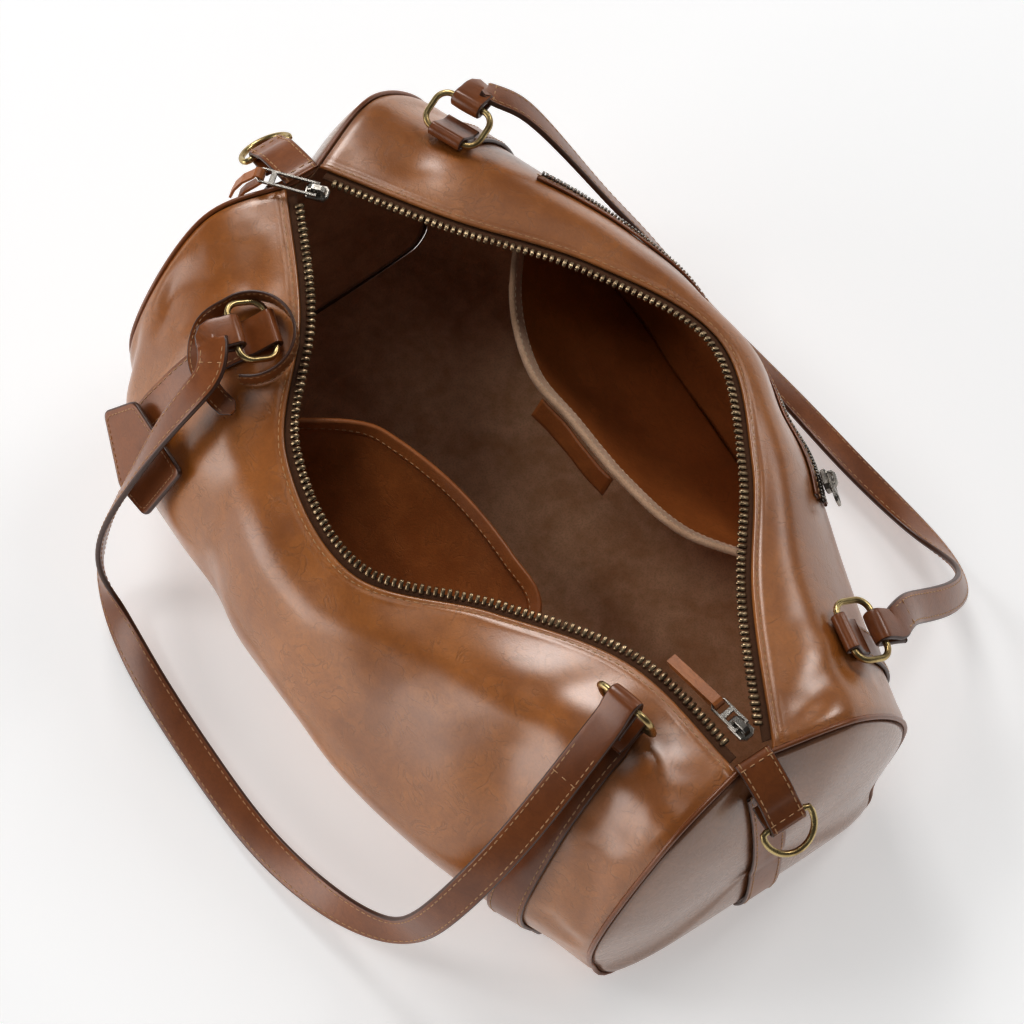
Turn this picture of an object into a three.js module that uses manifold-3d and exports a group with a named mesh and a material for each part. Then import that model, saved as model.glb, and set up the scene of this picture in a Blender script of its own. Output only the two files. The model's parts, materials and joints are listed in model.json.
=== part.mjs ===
// Soft leather boston bag, unzipped and gaping, standing on its base. Millimetres, +Z up, length along X, front towards -Y.
import * as THREE from "three";
import { mergeVertices } from "three/addons/utils/BufferGeometryUtils.js";
import Module from "manifold-3d";

const wasm = await Module();
wasm.setup();

// Body
const halfLength = 200;
const halfWidth = 150;
const height = 165;
const leather = 2;
const gap = 0.3;
const liningThick = 1;
// Straps and handles
const strapWidth = 20;
const strapThick = 2;
const handleWidth = 17.5;
const handleThick = 3;
// Rings
const wire = 1.7;
const ringHalfLong = 16.6;
const ringHalfShort = 10.4;
// Zip
const tapeThick = 0.8;
const tapeWidth = 10;
const toothWidth = 3.4;
const toothHeight = 2.8;
const leatherSetback = 6.5;
const pipingRadius = 1.5;

const soleHeight = strapThick + 5 * gap;
const liningDepth = leather + 2 * gap;
const turn = 2 * Math.PI;

// The ten lines that run from end to end, in shares of halfLength, halfWidth and height.
const guideRows = {
  frontEdge: [
    { along: -0.99, across: -0.02, up: 0.985 },
    { along: -0.645, across: -0.26, up: 0.97 },
    { along: -0.365, across: -0.567, up: 0.927 },
    { along: -0.005, across: -0.627, up: 0.903 },
    { along: 0.285, across: -0.32, up: 0.915 },
    { along: 0.6, across: -0.073, up: 0.958 },
    { along: 0.98, across: -0.02, up: 1 },
  ],
  frontUpper: [
    { along: -1.055, across: -0.37, up: 0.93 },
    { along: -0.72, across: -0.6, up: 0.89 },
    { along: -0.4, across: -0.82, up: 0.82 },
    { along: -0.015, across: -0.87, up: 0.77 },
    { along: 0.31, across: -0.65, up: 0.84 },
    { along: 0.655, across: -0.46, up: 0.92 },
    { along: 1.03, across: -0.36, up: 0.95 },
  ],
  frontBelly: [
    { along: -1.0, across: -0.73, up: 0.63 },
    { along: -0.76, across: -0.93, up: 0.53 },
    { along: -0.4, across: -0.99, up: 0.49 },
    { along: -0.02, across: -0.995, up: 0.45 },
    { along: 0.33, across: -0.965, up: 0.45 },
    { along: 0.7, across: -0.83, up: 0.48 },
    { along: 1.03, across: -0.62, up: 0.54 },
  ],
  frontFoot: [
    { along: -1.02, across: -0.66, up: 0.19 },
    { along: -0.75, across: -0.81, up: 0.13 },
    { along: -0.4, across: -0.86, up: 0.12 },
    { along: -0.01, across: -0.87, up: 0.11 },
    { along: 0.33, across: -0.84, up: 0.11 },
    { along: 0.68, across: -0.75, up: 0.12 },
    { along: 0.995, across: -0.615, up: 0.13 },
  ],
  frontSole: [
    { along: -1.02, across: -0.42, up: 0 },
    { along: -0.73, across: -0.57, up: 0 },
    { along: -0.38, across: -0.61, up: 0 },
    { along: 0, across: -0.63, up: 0 },
    { along: 0.33, across: -0.61, up: 0 },
    { along: 0.66, across: -0.55, up: 0 },
    { along: 1.015, across: -0.45, up: 0 },
  ],
  backSole: [
    { along: -1.05, across: 0.4, up: 0 },
    { along: -0.74, across: 0.56, up: 0 },
    { along: -0.38, across: 0.61, up: 0 },
    { along: 0, across: 0.64, up: 0 },
    { along: 0.33, across: 0.61, up: 0 },
    { along: 0.66, across: 0.53, up: 0 },
    { along: 1.02, across: 0.44, up: 0 },
  ],
  backFoot: [
    { along: -1.09, across: 0.6, up: 0.19 },
    { along: -0.78, across: 0.75, up: 0.13 },
    { along: -0.42, across: 0.84, up: 0.12 },
    { along: -0.04, across: 0.88, up: 0.12 },
    { along: 0.31, across: 0.81, up: 0.12 },
    { along: 0.69, across: 0.68, up: 0.13 },
    { along: 1, across: 0.58, up: 0.15 },
  ],
  backBelly: [
    { along: -1.15, across: 0.66, up: 0.6 },
    { along: -0.82, across: 0.83, up: 0.56 },
    { along: -0.44, across: 0.98, up: 0.53 },
    { along: -0.06, across: 1.01, up: 0.52 },
    { along: 0.31, across: 0.94, up: 0.51 },
    { along: 0.7, across: 0.77, up: 0.52 },
    { along: 1.01, across: 0.65, up: 0.52 },
  ],
  backUpper: [
    { along: -1.13, across: 0.41, up: 0.91 },
    { along: -0.76, across: 0.64, up: 0.89 },
    { along: -0.41, across: 0.84, up: 0.85 },
    { along: -0.04, across: 0.96, up: 0.8 },
    { along: 0.31, across: 0.82, up: 0.83 },
    { along: 0.65, across: 0.57, up: 0.89 },
    { along: 1.025, across: 0.4, up: 0.92 },
  ],
  backEdge: [
    { along: -0.99, across: 0.03, up: 0.985 },
    { along: -0.67, across: 0.3, up: 0.97 },
    { along: -0.37, across: 0.62, up: 0.927 },
    { along: -0.03, across: 0.82, up: 0.903 },
    { along: 0.31, across: 0.62, up: 0.915 },
    { along: 0.615, across: 0.313, up: 0.958 },
    { along: 0.985, across: 0.035, up: 1 },
  ],
};

function vec(x, y, z) {
  return new THREE.Vector3(x, y, z);
}

function placed(row) {
  return vec(row.along * halfLength, row.across * halfWidth, row.up * height);
}

function mix(a, b, t) {
  return a + (b - a) * t;
}

function easy(points) {
  return new THREE.CatmullRomCurve3(points, false, "catmullrom", 0.5);
}

const guides = Object.values(guideRows).map((rows) => easy(rows.map(placed)));

// A section of the shell at a share of its length, with the distance along it at each sample.
const sectionSamples = 72;
const sections = new Map();
function sectionAt(share) {
  const key = share.toFixed(5);
  if (sections.has(key)) return sections.get(key);
  const across = easy(guides.map((g) => g.getPoint(share)));
  const points = [];
  for (let i = 0; i <= sectionSamples; i++) {
    const p = across.getPoint(i / sectionSamples);
    p.z = Math.max(p.z, soleHeight);
    points.push(p);
  }
  const reach = [0];
  for (let i = 1; i < points.length; i++) {
    reach.push(reach[i - 1] + points[i].distanceTo(points[i - 1]));
  }
  const made = { points, reach, girth: reach[sectionSamples] };
  sections.set(key, made);
  return made;
}

function onSection(share, distance) {
  const { points, reach, girth } = sectionAt(share);
  const d = THREE.MathUtils.clamp(distance, 0, girth);
  let i = 1;
  while (i < sectionSamples && reach[i] < d) i++;
  const t = (d - reach[i - 1]) / (reach[i] - reach[i - 1]);
  return points[i - 1].clone().lerp(points[i], t);
}

function girthAt(share) {
  return sectionAt(share).girth;
}

// Outward direction, run along the length and run down the wall at a point of the shell.
const probe = 0.004;
const step = 3;
function directions(share, distance) {
  const lo = Math.max(0, share - probe);
  const hi = Math.min(1, share + probe);
  const keep = distance / girthAt(share);
  const s = onSection(hi, keep * girthAt(hi)).sub(onSection(lo, keep * girthAt(lo)));
  s.normalize();
  const a = Math.max(0, distance - step);
  const b = Math.min(girthAt(share), distance + step);
  const t = onSection(share, b).sub(onSection(share, a)).normalize();
  const n = vec(0, 0, 0).crossVectors(s, t).normalize().negate();
  return { s, t, n };
}

// A point of the shell, moved inwards by depth.
function shell(share, distance, depth) {
  const p = onSection(share, distance);
  if (!depth) return p;
  return p.addScaledVector(directions(share, distance).n, -depth);
}

const colours = {
  leather: { color: 0x8b542e, roughness: 0.3, metalness: 0 },
  lining: { color: 0xa58468, roughness: 0.9, metalness: 0 },
  brass: { color: 0xb9a66a, roughness: 0.3, metalness: 1 },
  nickel: { color: 0x8f8b84, roughness: 0.25, metalness: 1 },
  tape: { color: 0x6b4a32, roughness: 0.85, metalness: 0 },
};

const bag = new THREE.Group();
bag.name = "boston_bag";

function add(name, geometry, colour) {
  const mesh = new THREE.Mesh(geometry, new THREE.MeshStandardMaterial(colours[colour]));
  mesh.name = name;
  bag.add(mesh);
  return mesh;
}

// Closed solid from rings of points: rings of equal count, capped at both ends unless it closes on itself.
function fromRings(rings, closed) {
  const count = rings[0].length;
  const flat = rings.flat();
  const index = [];
  const last = closed ? rings.length : rings.length - 1;
  for (let i = 0; i < last; i++) {
    const a = i * count;
    const b = ((i + 1) % rings.length) * count;
    for (let j = 0; j < count; j++) {
      const k = (j + 1) % count;
      index.push(a + j, b + j, b + k, a + j, b + k, a + k);
    }
  }
  if (!closed) {
    const end = (rings.length - 1) * count;
    for (let j = 0; j < count / 2 - 1; j++) {
      const [a, b, c, d] = [j, j + 1, count - 2 - j, count - 1 - j];
      index.push(a, b, d, end + a, end + d, end + b);
      if (b !== c) index.push(b, c, d, end + b, end + d, end + c);
    }
  }
  return solid(flat, index);
}

function solid(points, index) {
  const g = new THREE.BufferGeometry();
  g.setAttribute("position", new THREE.Float32BufferAttribute(points.flatMap((p) => p.toArray()), 3));
  g.setIndex(outward(points, index));
  g.computeVertexNormals();
  return g;
}

// Turns the faces round if they enclose a negative volume.
function outward(points, index) {
  let volume = 0;
  for (let i = 0; i < index.length; i += 3) {
    const [a, b, c] = [points[index[i]], points[index[i + 1]], points[index[i + 2]]];
    volume += a.dot(vec(0, 0, 0).crossVectors(b, c));
  }
  if (volume > 0) return index;
  const turned = [];
  for (let i = 0; i < index.length; i += 3) turned.push(index[i], index[i + 2], index[i + 1]);
  return turned;
}

// A wall of even thickness between two grids of points.
function wall(rows, columns, outer, inner) {
  const points = [];
  const width = columns + 1;
  for (const face of [outer, inner]) {
    for (let i = 0; i <= rows; i++) {
      for (let j = 0; j <= columns; j++) points.push(face(i / rows, j / columns));
    }
  }
  const index = [];
  const under = (rows + 1) * width;
  function quad(a, b, c, d) {
    index.push(a, b, c, a, c, d);
  }
  for (let i = 0; i < rows; i++) {
    for (let j = 0; j < columns; j++) {
      const a = i * width + j;
      quad(a, a + 1, a + width + 1, a + width);
      quad(under + a, under + a + width, under + a + width + 1, under + a + 1);
    }
  }
  const edge = [];
  for (let j = 0; j < columns; j++) edge.push([j, j + 1]);
  for (let i = 0; i < rows; i++) edge.push([i * width + columns, (i + 1) * width + columns]);
  for (let j = columns; j > 0; j--) edge.push([rows * width + j, rows * width + j - 1]);
  for (let i = rows; i > 0; i--) edge.push([i * width, (i - 1) * width]);
  for (const [a, b] of edge) quad(b, a, under + a, under + b);
  return solid(points, index);
}

// A flat strap along a path: each stop has a point, the strap's side direction and its facing.
function strap(stops, width, thick, thin = 1) {
  return fromRings(
    stops.map(({ p, side, face }, i) => {
      const end = i === 0 || i === stops.length - 1;
      const w = (width / 2) * (end ? thin : 1);
      return [
        [-w, -thick / 2],
        [w, -thick / 2],
        [w, thick / 2],
        [-w, thick / 2],
      ].map(([a, b]) => p.clone().addScaledVector(side, a).addScaledVector(face, b));
    }),
    false,
  );
}

function tube(points, radius, sides, normalOf) {
  const rings = points.map((p, i) => {
    const before = points[(i + points.length - 1) % points.length];
    const after = points[(i + 1) % points.length];
    const ahead = after.clone().sub(before).normalize();
    const up = normalOf(i);
    up.addScaledVector(ahead, -up.dot(ahead)).normalize();
    const side = vec(0, 0, 0).crossVectors(ahead, up);
    const ring = [];
    for (let k = 0; k < sides; k++) {
      const angle = (turn * k) / sides;
      const q = p.clone().addScaledVector(up, radius * Math.cos(angle));
      ring.push(q.addScaledVector(side, radius * Math.sin(angle)));
    }
    return ring;
  });
  return fromRings(rings, true);
}

// Shares of the length and distances down the wall at which every sheet of the shell has its points.
const seamLeft = 0.0085;
const seamRight = 0.0055;
const innerShare = 0.016;
const liningStart = 14;
const shellRows = 20;
const shellColumns = 26;
const innerRows = [innerShare];
for (let i = 1; i < shellRows; i++) innerRows.push(i / shellRows);
innerRows.push(1 - innerShare);
const allRows = [seamLeft, ...innerRows, 1 - seamRight];

function column(k, share) {
  if (k === 0) return leatherSetback;
  if (k === shellColumns) return girthAt(share) - leatherSetback;
  return mix(liningStart, girthAt(share) - liningStart, (k - 1) / (shellColumns - 2));
}

function sheet(rows, first, last, depth, thick) {
  const face = (d) => (a, b) => {
    const share = rows[Math.round(a * (rows.length - 1))];
    return shell(share, column(first + Math.round(b * (last - first)), share), d);
  };
  return wall(rows.length - 1, last - first, face(depth), face(depth + thick));
}

add("body_panel", sheet(allRows, 0, shellColumns, 0, leather), "leather");
add("lining_body", sheet(innerRows, 1, shellColumns - 1, liningDepth, liningThick), "lining");

// The seam where an end panel meets the body: the shell's last section, closed across the zip's end.
const seamPoints = 34;
function seam(share, inset) {
  const girth = girthAt(share);
  const line = [];
  for (let i = 0; i < seamPoints; i++) {
    line.push(shell(share, (girth * (i + 0.5)) / seamPoints, inset));
  }
  return line;
}

const endRings = 3;
function endDisc(share, inset, outwardOffset, bulge) {
  const sign = share < 0.5 ? -1 : 1;
  const rim = seam(share, leather / 2);
  const middle = rim.reduce((sum, p) => sum.add(p), vec(0, 0, 0)).divideScalar(rim.length);
  return (ringShare, angleIndex) => {
    const edge = rim[angleIndex % seamPoints];
    const reach = edge.distanceTo(middle);
    const keep = ((reach - inset) / reach) * ringShare;
    const p = middle.clone().lerp(edge, keep);
    p.x += sign * (outwardOffset + bulge * (1 - keep ** 4));
    return p;
  };
}

// How far out an end panel's face stands at a place on it.
function discReach(share, y, z, inset, offset, bulge) {
  const face = endDisc(share, inset, offset, bulge);
  for (let r = 0; r < endRings; r++) {
    for (let j = 0; j < seamPoints; j++) {
      const a = face(r / endRings, j);
      const b = face((r + 1) / endRings, j);
      const c = face((r + 1) / endRings, j + 1);
      const d = face(r / endRings, j + 1);
      for (const [p, q, o] of [[a, b, c], [a, c, d]]) {
        const whole = (q.y - p.y) * (o.z - p.z) - (o.y - p.y) * (q.z - p.z);
        if (Math.abs(whole) < 1e-9) continue;
        const u = ((y - p.y) * (o.z - p.z) - (o.y - p.y) * (z - p.z)) / whole;
        const v = ((q.y - p.y) * (z - p.z) - (y - p.y) * (q.z - p.z)) / whole;
        if (u < -1e-6 || v < -1e-6 || u + v > 1 + 1e-6) continue;
        return p.x + u * (q.x - p.x) + v * (o.x - p.x);
      }
    }
  }
  return face(0, 0).x;
}

function disc(share, inset, offset, thick, bulge) {
  const outer = endDisc(share, inset, offset, bulge);
  const inner = endDisc(share, inset, offset - thick, bulge);
  const points = [outer(0, 0)];
  const index = [];
  for (const face of [outer, inner]) {
    if (face === inner) points.push(inner(0, 0));
    for (let r = 1; r <= endRings; r++) {
      for (let j = 0; j < seamPoints; j++) points.push(face(r / endRings, j));
    }
  }
  const under = 1 + endRings * seamPoints;
  for (let r = 0; r < endRings; r++) {
    for (let j = 0; j < seamPoints; j++) {
      const k = (j + 1) % seamPoints;
      const a = 1 + (r - 1) * seamPoints;
      const b = 1 + r * seamPoints;
      if (r === 0) {
        index.push(0, b + j, b + k);
        index.push(under, under + b + k, under + b + j);
      } else {
        index.push(a + j, b + j, b + k, a + j, b + k, a + k);
        index.push(under + a + j, under + b + k, under + b + j);
        index.push(under + a + j, under + a + k, under + b + k);
      }
    }
  }
  const b = 1 + (endRings - 1) * seamPoints;
  for (let j = 0; j < seamPoints; j++) {
    const k = (j + 1) % seamPoints;
    index.push(b + j, under + b + j, under + b + k, b + j, under + b + k, b + k);
  }
  return solid(points, index);
}

const endBulge = 12;
const ends = [
  { side: "left", share: 0, sign: -1 },
  { side: "right", share: 1, sign: 1 },
];
for (const { side, share } of ends) {
  const rim = seam(share, leather / 2);
  const middle = rim.reduce((sum, p) => sum.add(p), vec(0, 0, 0)).divideScalar(rim.length);
  add(`piping_${side}`, tube(rim, pipingRadius, 6, (i) => rim[i].clone().sub(middle)), "leather");
  add(`end_panel_${side}`, disc(share, pipingRadius + 2 * gap, leather / 2, leather, endBulge), "leather");
  const inset = liningDepth + liningThick + gap;
  add(`lining_${side}`, disc(share, inset, -leather, liningThick, endBulge), "lining");
}

// The zip: a tape and a row of teeth along each edge of the mouth.
const edges = [
  { side: "front", at: (share, d) => d },
  { side: "back", at: (share, d) => girthAt(share) - d },
];
const tapeDepth = leather + gap;
const tapeNear = toothWidth / 2 + gap;
const teethDrop = tapeDepth + tapeThick / 2 - toothHeight / 2;
for (const { side, at } of edges) {
  const columns = [tapeNear, leatherSetback, tapeNear + tapeWidth];
  const face = (depth) => (a, b) => {
    const share = innerRows[Math.round(a * (innerRows.length - 1))];
    return shell(share, at(share, columns[Math.round(b * 2)]), depth);
  };
  add(`zip_tape_${side}`, wall(innerRows.length - 1, 2, face(tapeDepth), face(tapeDepth + tapeThick)), "tape");
  const stops = [0.032, ...innerRows.slice(1, -1), 0.968].map((share) => {
    const { t, n } = directions(share, at(share, 1));
    const p = shell(share, at(share, 0), 0).addScaledVector(n, -tapeDepth - tapeThick / 2);
    return { p, side: t, face: n };
  });
  add(`zip_teeth_${side}`, strap(stops, toothWidth, toothHeight), "brass");
}

// Rings: where each hangs on the shell, how far down from the zip and how steeply it stands.
const ringRows = {
  front_left: { share: 0.175, down: 21, lift: 27 },
  front_right: { share: 0.88, down: 30, lift: 80 },
  back_left: { share: 0.1, down: 52, lift: 38 },
  back_right: { share: 0.905, down: 54, lift: 22 },
};
const strapOffset = 5 * gap;
const loopRadius = wire + gap + strapThick / 2;
const barHeight = strapOffset + strapThick / 2 + loopRadius;
const ringCorner = 7;

// The frame of a ring: its fixed bar, its free bar and its own directions.
function ringFrame(name) {
  const { share, down, lift } = ringRows[name];
  const back = name.startsWith("back");
  const distance = back ? girthAt(share) - down : down;
  const { s, t, n } = directions(share, distance);
  const away = back ? t.clone().negate() : t;
  const side = s.clone().addScaledVector(away, -s.dot(away)).normalize();
  const bar = shell(share, distance, 0).addScaledVector(n, barHeight);
  const angle = THREE.MathUtils.degToRad(lift);
  const run = away.clone().multiplyScalar(Math.cos(angle)).addScaledVector(n, Math.sin(angle));
  const free = bar.clone().addScaledVector(run, 2 * ringHalfShort);
  const up = n.clone().multiplyScalar(Math.cos(angle)).addScaledVector(away, -Math.sin(angle));
  return { share, distance, side, away, n, bar, run, free, up };
}

const frames = {};
for (const name of Object.keys(ringRows)) {
  const frame = ringFrame(name);
  frames[name] = frame;
  const middle = frame.bar.clone().lerp(frame.free, 0.5);
  const outline = new THREE.Shape();
  const x = ringHalfLong - ringCorner;
  const y = ringHalfShort - ringCorner;
  outline.absarc(x, y, ringCorner, 0, turn / 4);
  outline.absarc(-x, y, ringCorner, turn / 4, turn / 2);
  outline.absarc(-x, -y, ringCorner, turn / 2, (3 * turn) / 4);
  outline.absarc(x, -y, ringCorner, (3 * turn) / 4, turn);
  const line = outline.getPoints(2).slice(0, -1);
  const points = [];
  for (const q of line) {
    const p = middle.clone().addScaledVector(frame.side, q.x).addScaledVector(frame.run, q.y);
    if (!points.length || p.distanceTo(points[points.length - 1]) > 0.5) points.push(p);
  }
  if (points[0].distanceTo(points[points.length - 1]) < 0.5) points.pop();
  add(`ring_${name}`, tube(points, wire, 6, () => frame.up.clone()), "brass");
}

// Gives each point of a path the facing that goes with its side, facing away from the shell.
function sided(points, sides) {
  return points.map((p, i) => {
    const before = points[Math.max(0, i - 1)];
    const after = points[Math.min(points.length - 1, i + 1)];
    const ahead = after.clone().sub(before).normalize();
    const side = sides[i].clone().addScaledVector(ahead, -sides[i].dot(ahead)).normalize();
    return { p, side, face: vec(0, 0, 0).crossVectors(ahead, side) };
  });
}

// The turn of a strap round a bar, from the end of its tail: run points away from the bar, up lifts the tail.
function loopAround(bar, run, up, radius, tail) {
  const points = tail.map(([a, b]) => bar.clone().addScaledVector(run, a).addScaledVector(up, b));
  for (let i = 0; i <= 6; i++) {
    const angle = turn * (0.25 + i / 12);
    const p = bar.clone().addScaledVector(run, radius * Math.cos(angle));
    points.push(p.addScaledVector(up, radius * Math.sin(angle)));
  }
  return points;
}

// The section of a body strap, free or lying on the shell; it bridges the turn of the sole.
const footShare = 0.2;
const footBridge = 3;
const acrossStrap = [-1, -0.5, 0, 0.5, 1];
const backAcross = [...acrossStrap].reverse();
function strapSection(p, side, face) {
  const out = acrossStrap.map((w) => [(w * strapWidth) / 2, strapThick / 2]);
  const under = backAcross.map((w) => [(w * strapWidth) / 2, -strapThick / 2]);
  return [...out, ...under].map(([a, b]) => p.clone().addScaledVector(side, a).addScaledVector(face, b));
}

function shellBand(share, k) {
  const reach = strapWidth / 2 / (2.1 * halfLength);
  const z = shell(share, column(k, share), 0).z;
  const bridge = z > soleHeight + gap && z < footShare * height ? footBridge : 0;
  const at = (w, depth) => {
    const near = share + w * reach;
    const i = allRows.findIndex((row) => row > near);
    const [before, after] = [allRows[i - 1], allRows[i]];
    const p = shell(before, column(k, before), depth);
    p.lerp(shell(after, column(k, after), depth), (near - before) / (after - before));
    p.y += Math.sign(p.y) * bridge;
    p.z = Math.max(p.z, depth + soleHeight);
    return p;
  };
  const out = acrossStrap.map((w) => at(w, -strapOffset - strapThick));
  const under = backAcross.map((w) => at(w, -strapOffset));
  return [...out, ...under];
}

function shellPoint(share, distance) {
  return shell(share, distance, -strapOffset - strapThick / 2);
}

function columnAfter(share, distance) {
  let k = 0;
  while (column(k, share) < distance) k++;
  return k;
}

// Body straps run from a front ring down the panel, under the bag and up to the back ring.
for (const side of ["left", "right"]) {
  const front = frames[`front_${side}`];
  const back = frames[`back_${side}`];
  const low = strapThick / 2 + gap + strapThick / 2 - loopRadius;
  const tail = [
    [17, low + 0.1],
    [12, low + 0.1],
    [6, low + 2.4],
  ];
  const head = loopAround(front.bar, front.away, front.n, loopRadius, tail);
  const foot = loopAround(back.bar, back.away, back.n, loopRadius, tail).reverse();
  const rings = [];
  const lay = (items) => {
    for (const { p, side, face } of items) {
      rings.push(strapSection(p, side, face));
    }
  };
  lay(sided([...head, shellPoint(front.share, front.distance + 4)], [...head, 0].map(() => front.side)).slice(0, -1));
  const first = columnAfter(front.share, front.distance + 5);
  const last = columnAfter(back.share, back.distance - 5) - 1;
  for (let k = first; k <= last; k++) {
    const share = mix(front.share, back.share, (k - first + 1) / (last - first + 2));
    rings.push(shellBand(share, k));
  }
  lay(sided([shellPoint(back.share, back.distance - 4), ...foot], [0, ...foot].map(() => back.side)).slice(1));
  add(`body_strap_${side}`, fromRings(rings, false), "leather");
}

// The handles, in shares of halfLength, halfWidth and height, with the way the strap's face looks.
const handleRows = {
  front: [
    { along: -0.622, across: -0.67, up: 1.03, x: -0.1, y: -0.5, z: 0.85 },
    { along: -0.61, across: -0.785, up: 0.97, x: -0.2, y: -0.7, z: 0.7 },
    { along: -0.62, across: -0.905, up: 0.835, x: -0.4, y: -0.8, z: 0.45 },
    { along: -0.622, across: -1.035, up: 0.67, x: -0.75, y: -0.6, z: 0.2 },
    { along: -0.643, across: -1.148, up: 0.438, x: -0.9, y: -0.3, z: 0.3 },
    { along: -0.64, across: -1.207, up: 0.22, x: -0.75, y: -0.3, z: 0.6 },
    { along: -0.56, across: -1.24, up: 0.08, x: -0.3, y: -0.45, z: 0.85 },
    { along: -0.34, across: -1.275, up: 0.045, x: 0.05, y: -0.4, z: 0.9 },
    { along: -0.07, across: -1.285, up: 0.04, x: 0.1, y: -0.35, z: 0.93 },
    { along: 0.21, across: -1.28, up: 0.055, x: 0.2, y: -0.35, z: 0.9 },
    { along: 0.44, across: -1.225, up: 0.1, x: 0.4, y: -0.4, z: 0.8 },
    { along: 0.6, across: -1.155, up: 0.18, x: 0.65, y: -0.5, z: 0.6 },
    { along: 0.69, across: -1.08, up: 0.27, x: 0.75, y: -0.6, z: 0.45 },
    { along: 0.765, across: -1.01, up: 0.53, x: 0.6, y: -0.6, z: 0.6 },
    { along: 0.785, across: -0.79, up: 0.76, x: 0.4, y: -0.6, z: 0.7 },
    { along: 0.765, across: -0.56, up: 0.93, x: 0.3, y: -0.6, z: 0.75 },
  ],
  back: [
    { along: -0.92, across: 0.745, up: 0.965, x: -0.1, y: 0.3, z: 1 },
    { along: -0.875, across: 0.81, up: 0.925, x: 0, y: 0.5, z: 0.85 },
    { along: -0.805, across: 0.865, up: 0.84, x: 0.1, y: 0.7, z: 0.7 },
    { along: -0.725, across: 0.925, up: 0.715, x: 0, y: 0.8, z: 0.6 },
    { along: -0.635, across: 0.99, up: 0.576, x: 0, y: 0.8, z: 0.55 },
    { along: -0.54, across: 1.06, up: 0.45, x: -0.1, y: 0.85, z: 0.5 },
    { along: -0.39, across: 1.13, up: 0.28, x: -0.1, y: 0.8, z: 0.6 },
    { along: -0.22, across: 1.19, up: 0.17, x: 0, y: 0.6, z: 0.8 },
    { along: 0.005, across: 1.25, up: 0.09, x: 0, y: 0.4, z: 0.9 },
    { along: 0.205, across: 1.28, up: 0.06, x: 0, y: 0.3, z: 0.95 },
    { along: 0.435, across: 1.31, up: 0.07, x: 0.1, y: 0.3, z: 0.9 },
    { along: 0.6, across: 1.31, up: 0.13, x: 0.5, y: 0.4, z: 0.75 },
    { along: 0.71, across: 1.24, up: 0.25, x: 0.8, y: 0.5, z: 0.4 },
    { along: 0.77, across: 1.09, up: 0.43, x: 0.8, y: 0.5, z: 0.45 },
    { along: 0.79, across: 0.92, up: 0.61, x: 0.6, y: 0.4, z: 0.6 },
    { along: 0.815, across: 0.82, up: 0.75, x: 0.3, y: 0.3, z: 0.85 },
  ],
};

const handleLoop = wire + gap + handleThick / 2;
for (const [edge, rows] of Object.entries(handleRows)) {
  const left = frames[`${edge}_left`];
  const right = frames[`${edge}_right`];
  const middle = rows.map(placed);
  const facings = rows.map(({ x, y, z }) => vec(x, y, z).normalize());
  function end(frame, next) {
    const run = next.clone().sub(frame.free);
    run.addScaledVector(frame.side, -run.dot(frame.side)).normalize();
    const under = vec(0, 0, 0).crossVectors(run, frame.side).normalize();
    if (under.dot(frame.n) > 0) under.negate();
    const tail = [
      [17, 1.8],
      [11, 2],
      [5, 2.9],
    ];
    const points = loopAround(frame.free, run, under, handleLoop, tail);
    for (const [a, b] of [[5, -2.9], [11, -2]]) {
      points.push(frame.free.clone().addScaledVector(run, a).addScaledVector(under, b));
    }
    return { points, side: vec(0, 0, 0).crossVectors(run, under).normalize() };
  }
  const head = end(left, middle[0]);
  const foot = end(right, middle[middle.length - 1]);
  const tailFirst = foot.points.reverse();
  const curve = easy([...head.points.slice(-2), ...middle, ...tailFirst.slice(0, 2)]);
  const spans = middle.length + 3;
  const steps = 3 * spans;
  const points = [...head.points];
  const sidesOf = points.map(() => head.side.clone());
  for (let i = 4; i < steps - 3; i++) {
    const at = (i / steps) * spans - 2;
    const k = THREE.MathUtils.clamp(Math.floor(at), 0, middle.length - 2);
    const face = facings[k].clone().lerp(facings[k + 1], THREE.MathUtils.clamp(at - k, 0, 1));
    const ahead = curve.getTangent(i / steps);
    points.push(curve.getPoint(i / steps));
    sidesOf.push(vec(0, 0, 0).crossVectors(face, ahead).normalize());
  }
  points.push(...tailFirst);
  sidesOf.push(...tailFirst.map(() => foot.side.clone().negate()));
  for (let i = head.points.length; i < sidesOf.length; i++) {
    if (sidesOf[i].dot(sidesOf[i - 1]) < 0) sidesOf[i].negate();
  }
  add(`handle_${edge}`, strap(sided(points, sidesOf), handleWidth, handleThick), "leather");
}

// Joins closed shapes into one solid.
function join(geometries) {
  const solids = geometries.map((g) => {
    const bare = g.clone();
    bare.deleteAttribute("normal");
    bare.deleteAttribute("uv");
    const merged = mergeVertices(bare, 1e-4);
    return new wasm.Manifold(
      new wasm.Mesh({
        numProp: 3,
        vertProperties: merged.attributes.position.array,
        triVerts: new Uint32Array(merged.index.array),
      }),
    );
  });
  const made = wasm.Manifold.union(solids).getMesh();
  const out = new THREE.BufferGeometry();
  out.setAttribute("position", new THREE.BufferAttribute(made.vertProperties, 3));
  out.setIndex(new THREE.BufferAttribute(made.triVerts, 1));
  out.computeVertexNormals();
  return out;
}

// Puts a shape drawn around its own origin at a place, with its axes along three directions.
function placeAt(geometry, origin, x, y, z) {
  return geometry.applyMatrix4(new THREE.Matrix4().makeBasis(x, y, z).setPosition(origin));
}

function outlined(points, holes = []) {
  const shape = new THREE.Shape(points.map(([x, y]) => new THREE.Vector2(x, y)));
  for (const hole of holes) {
    shape.holes.push(new THREE.Path(hole.map(([x, y]) => new THREE.Vector2(x, y))));
  }
  return shape;
}

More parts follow.
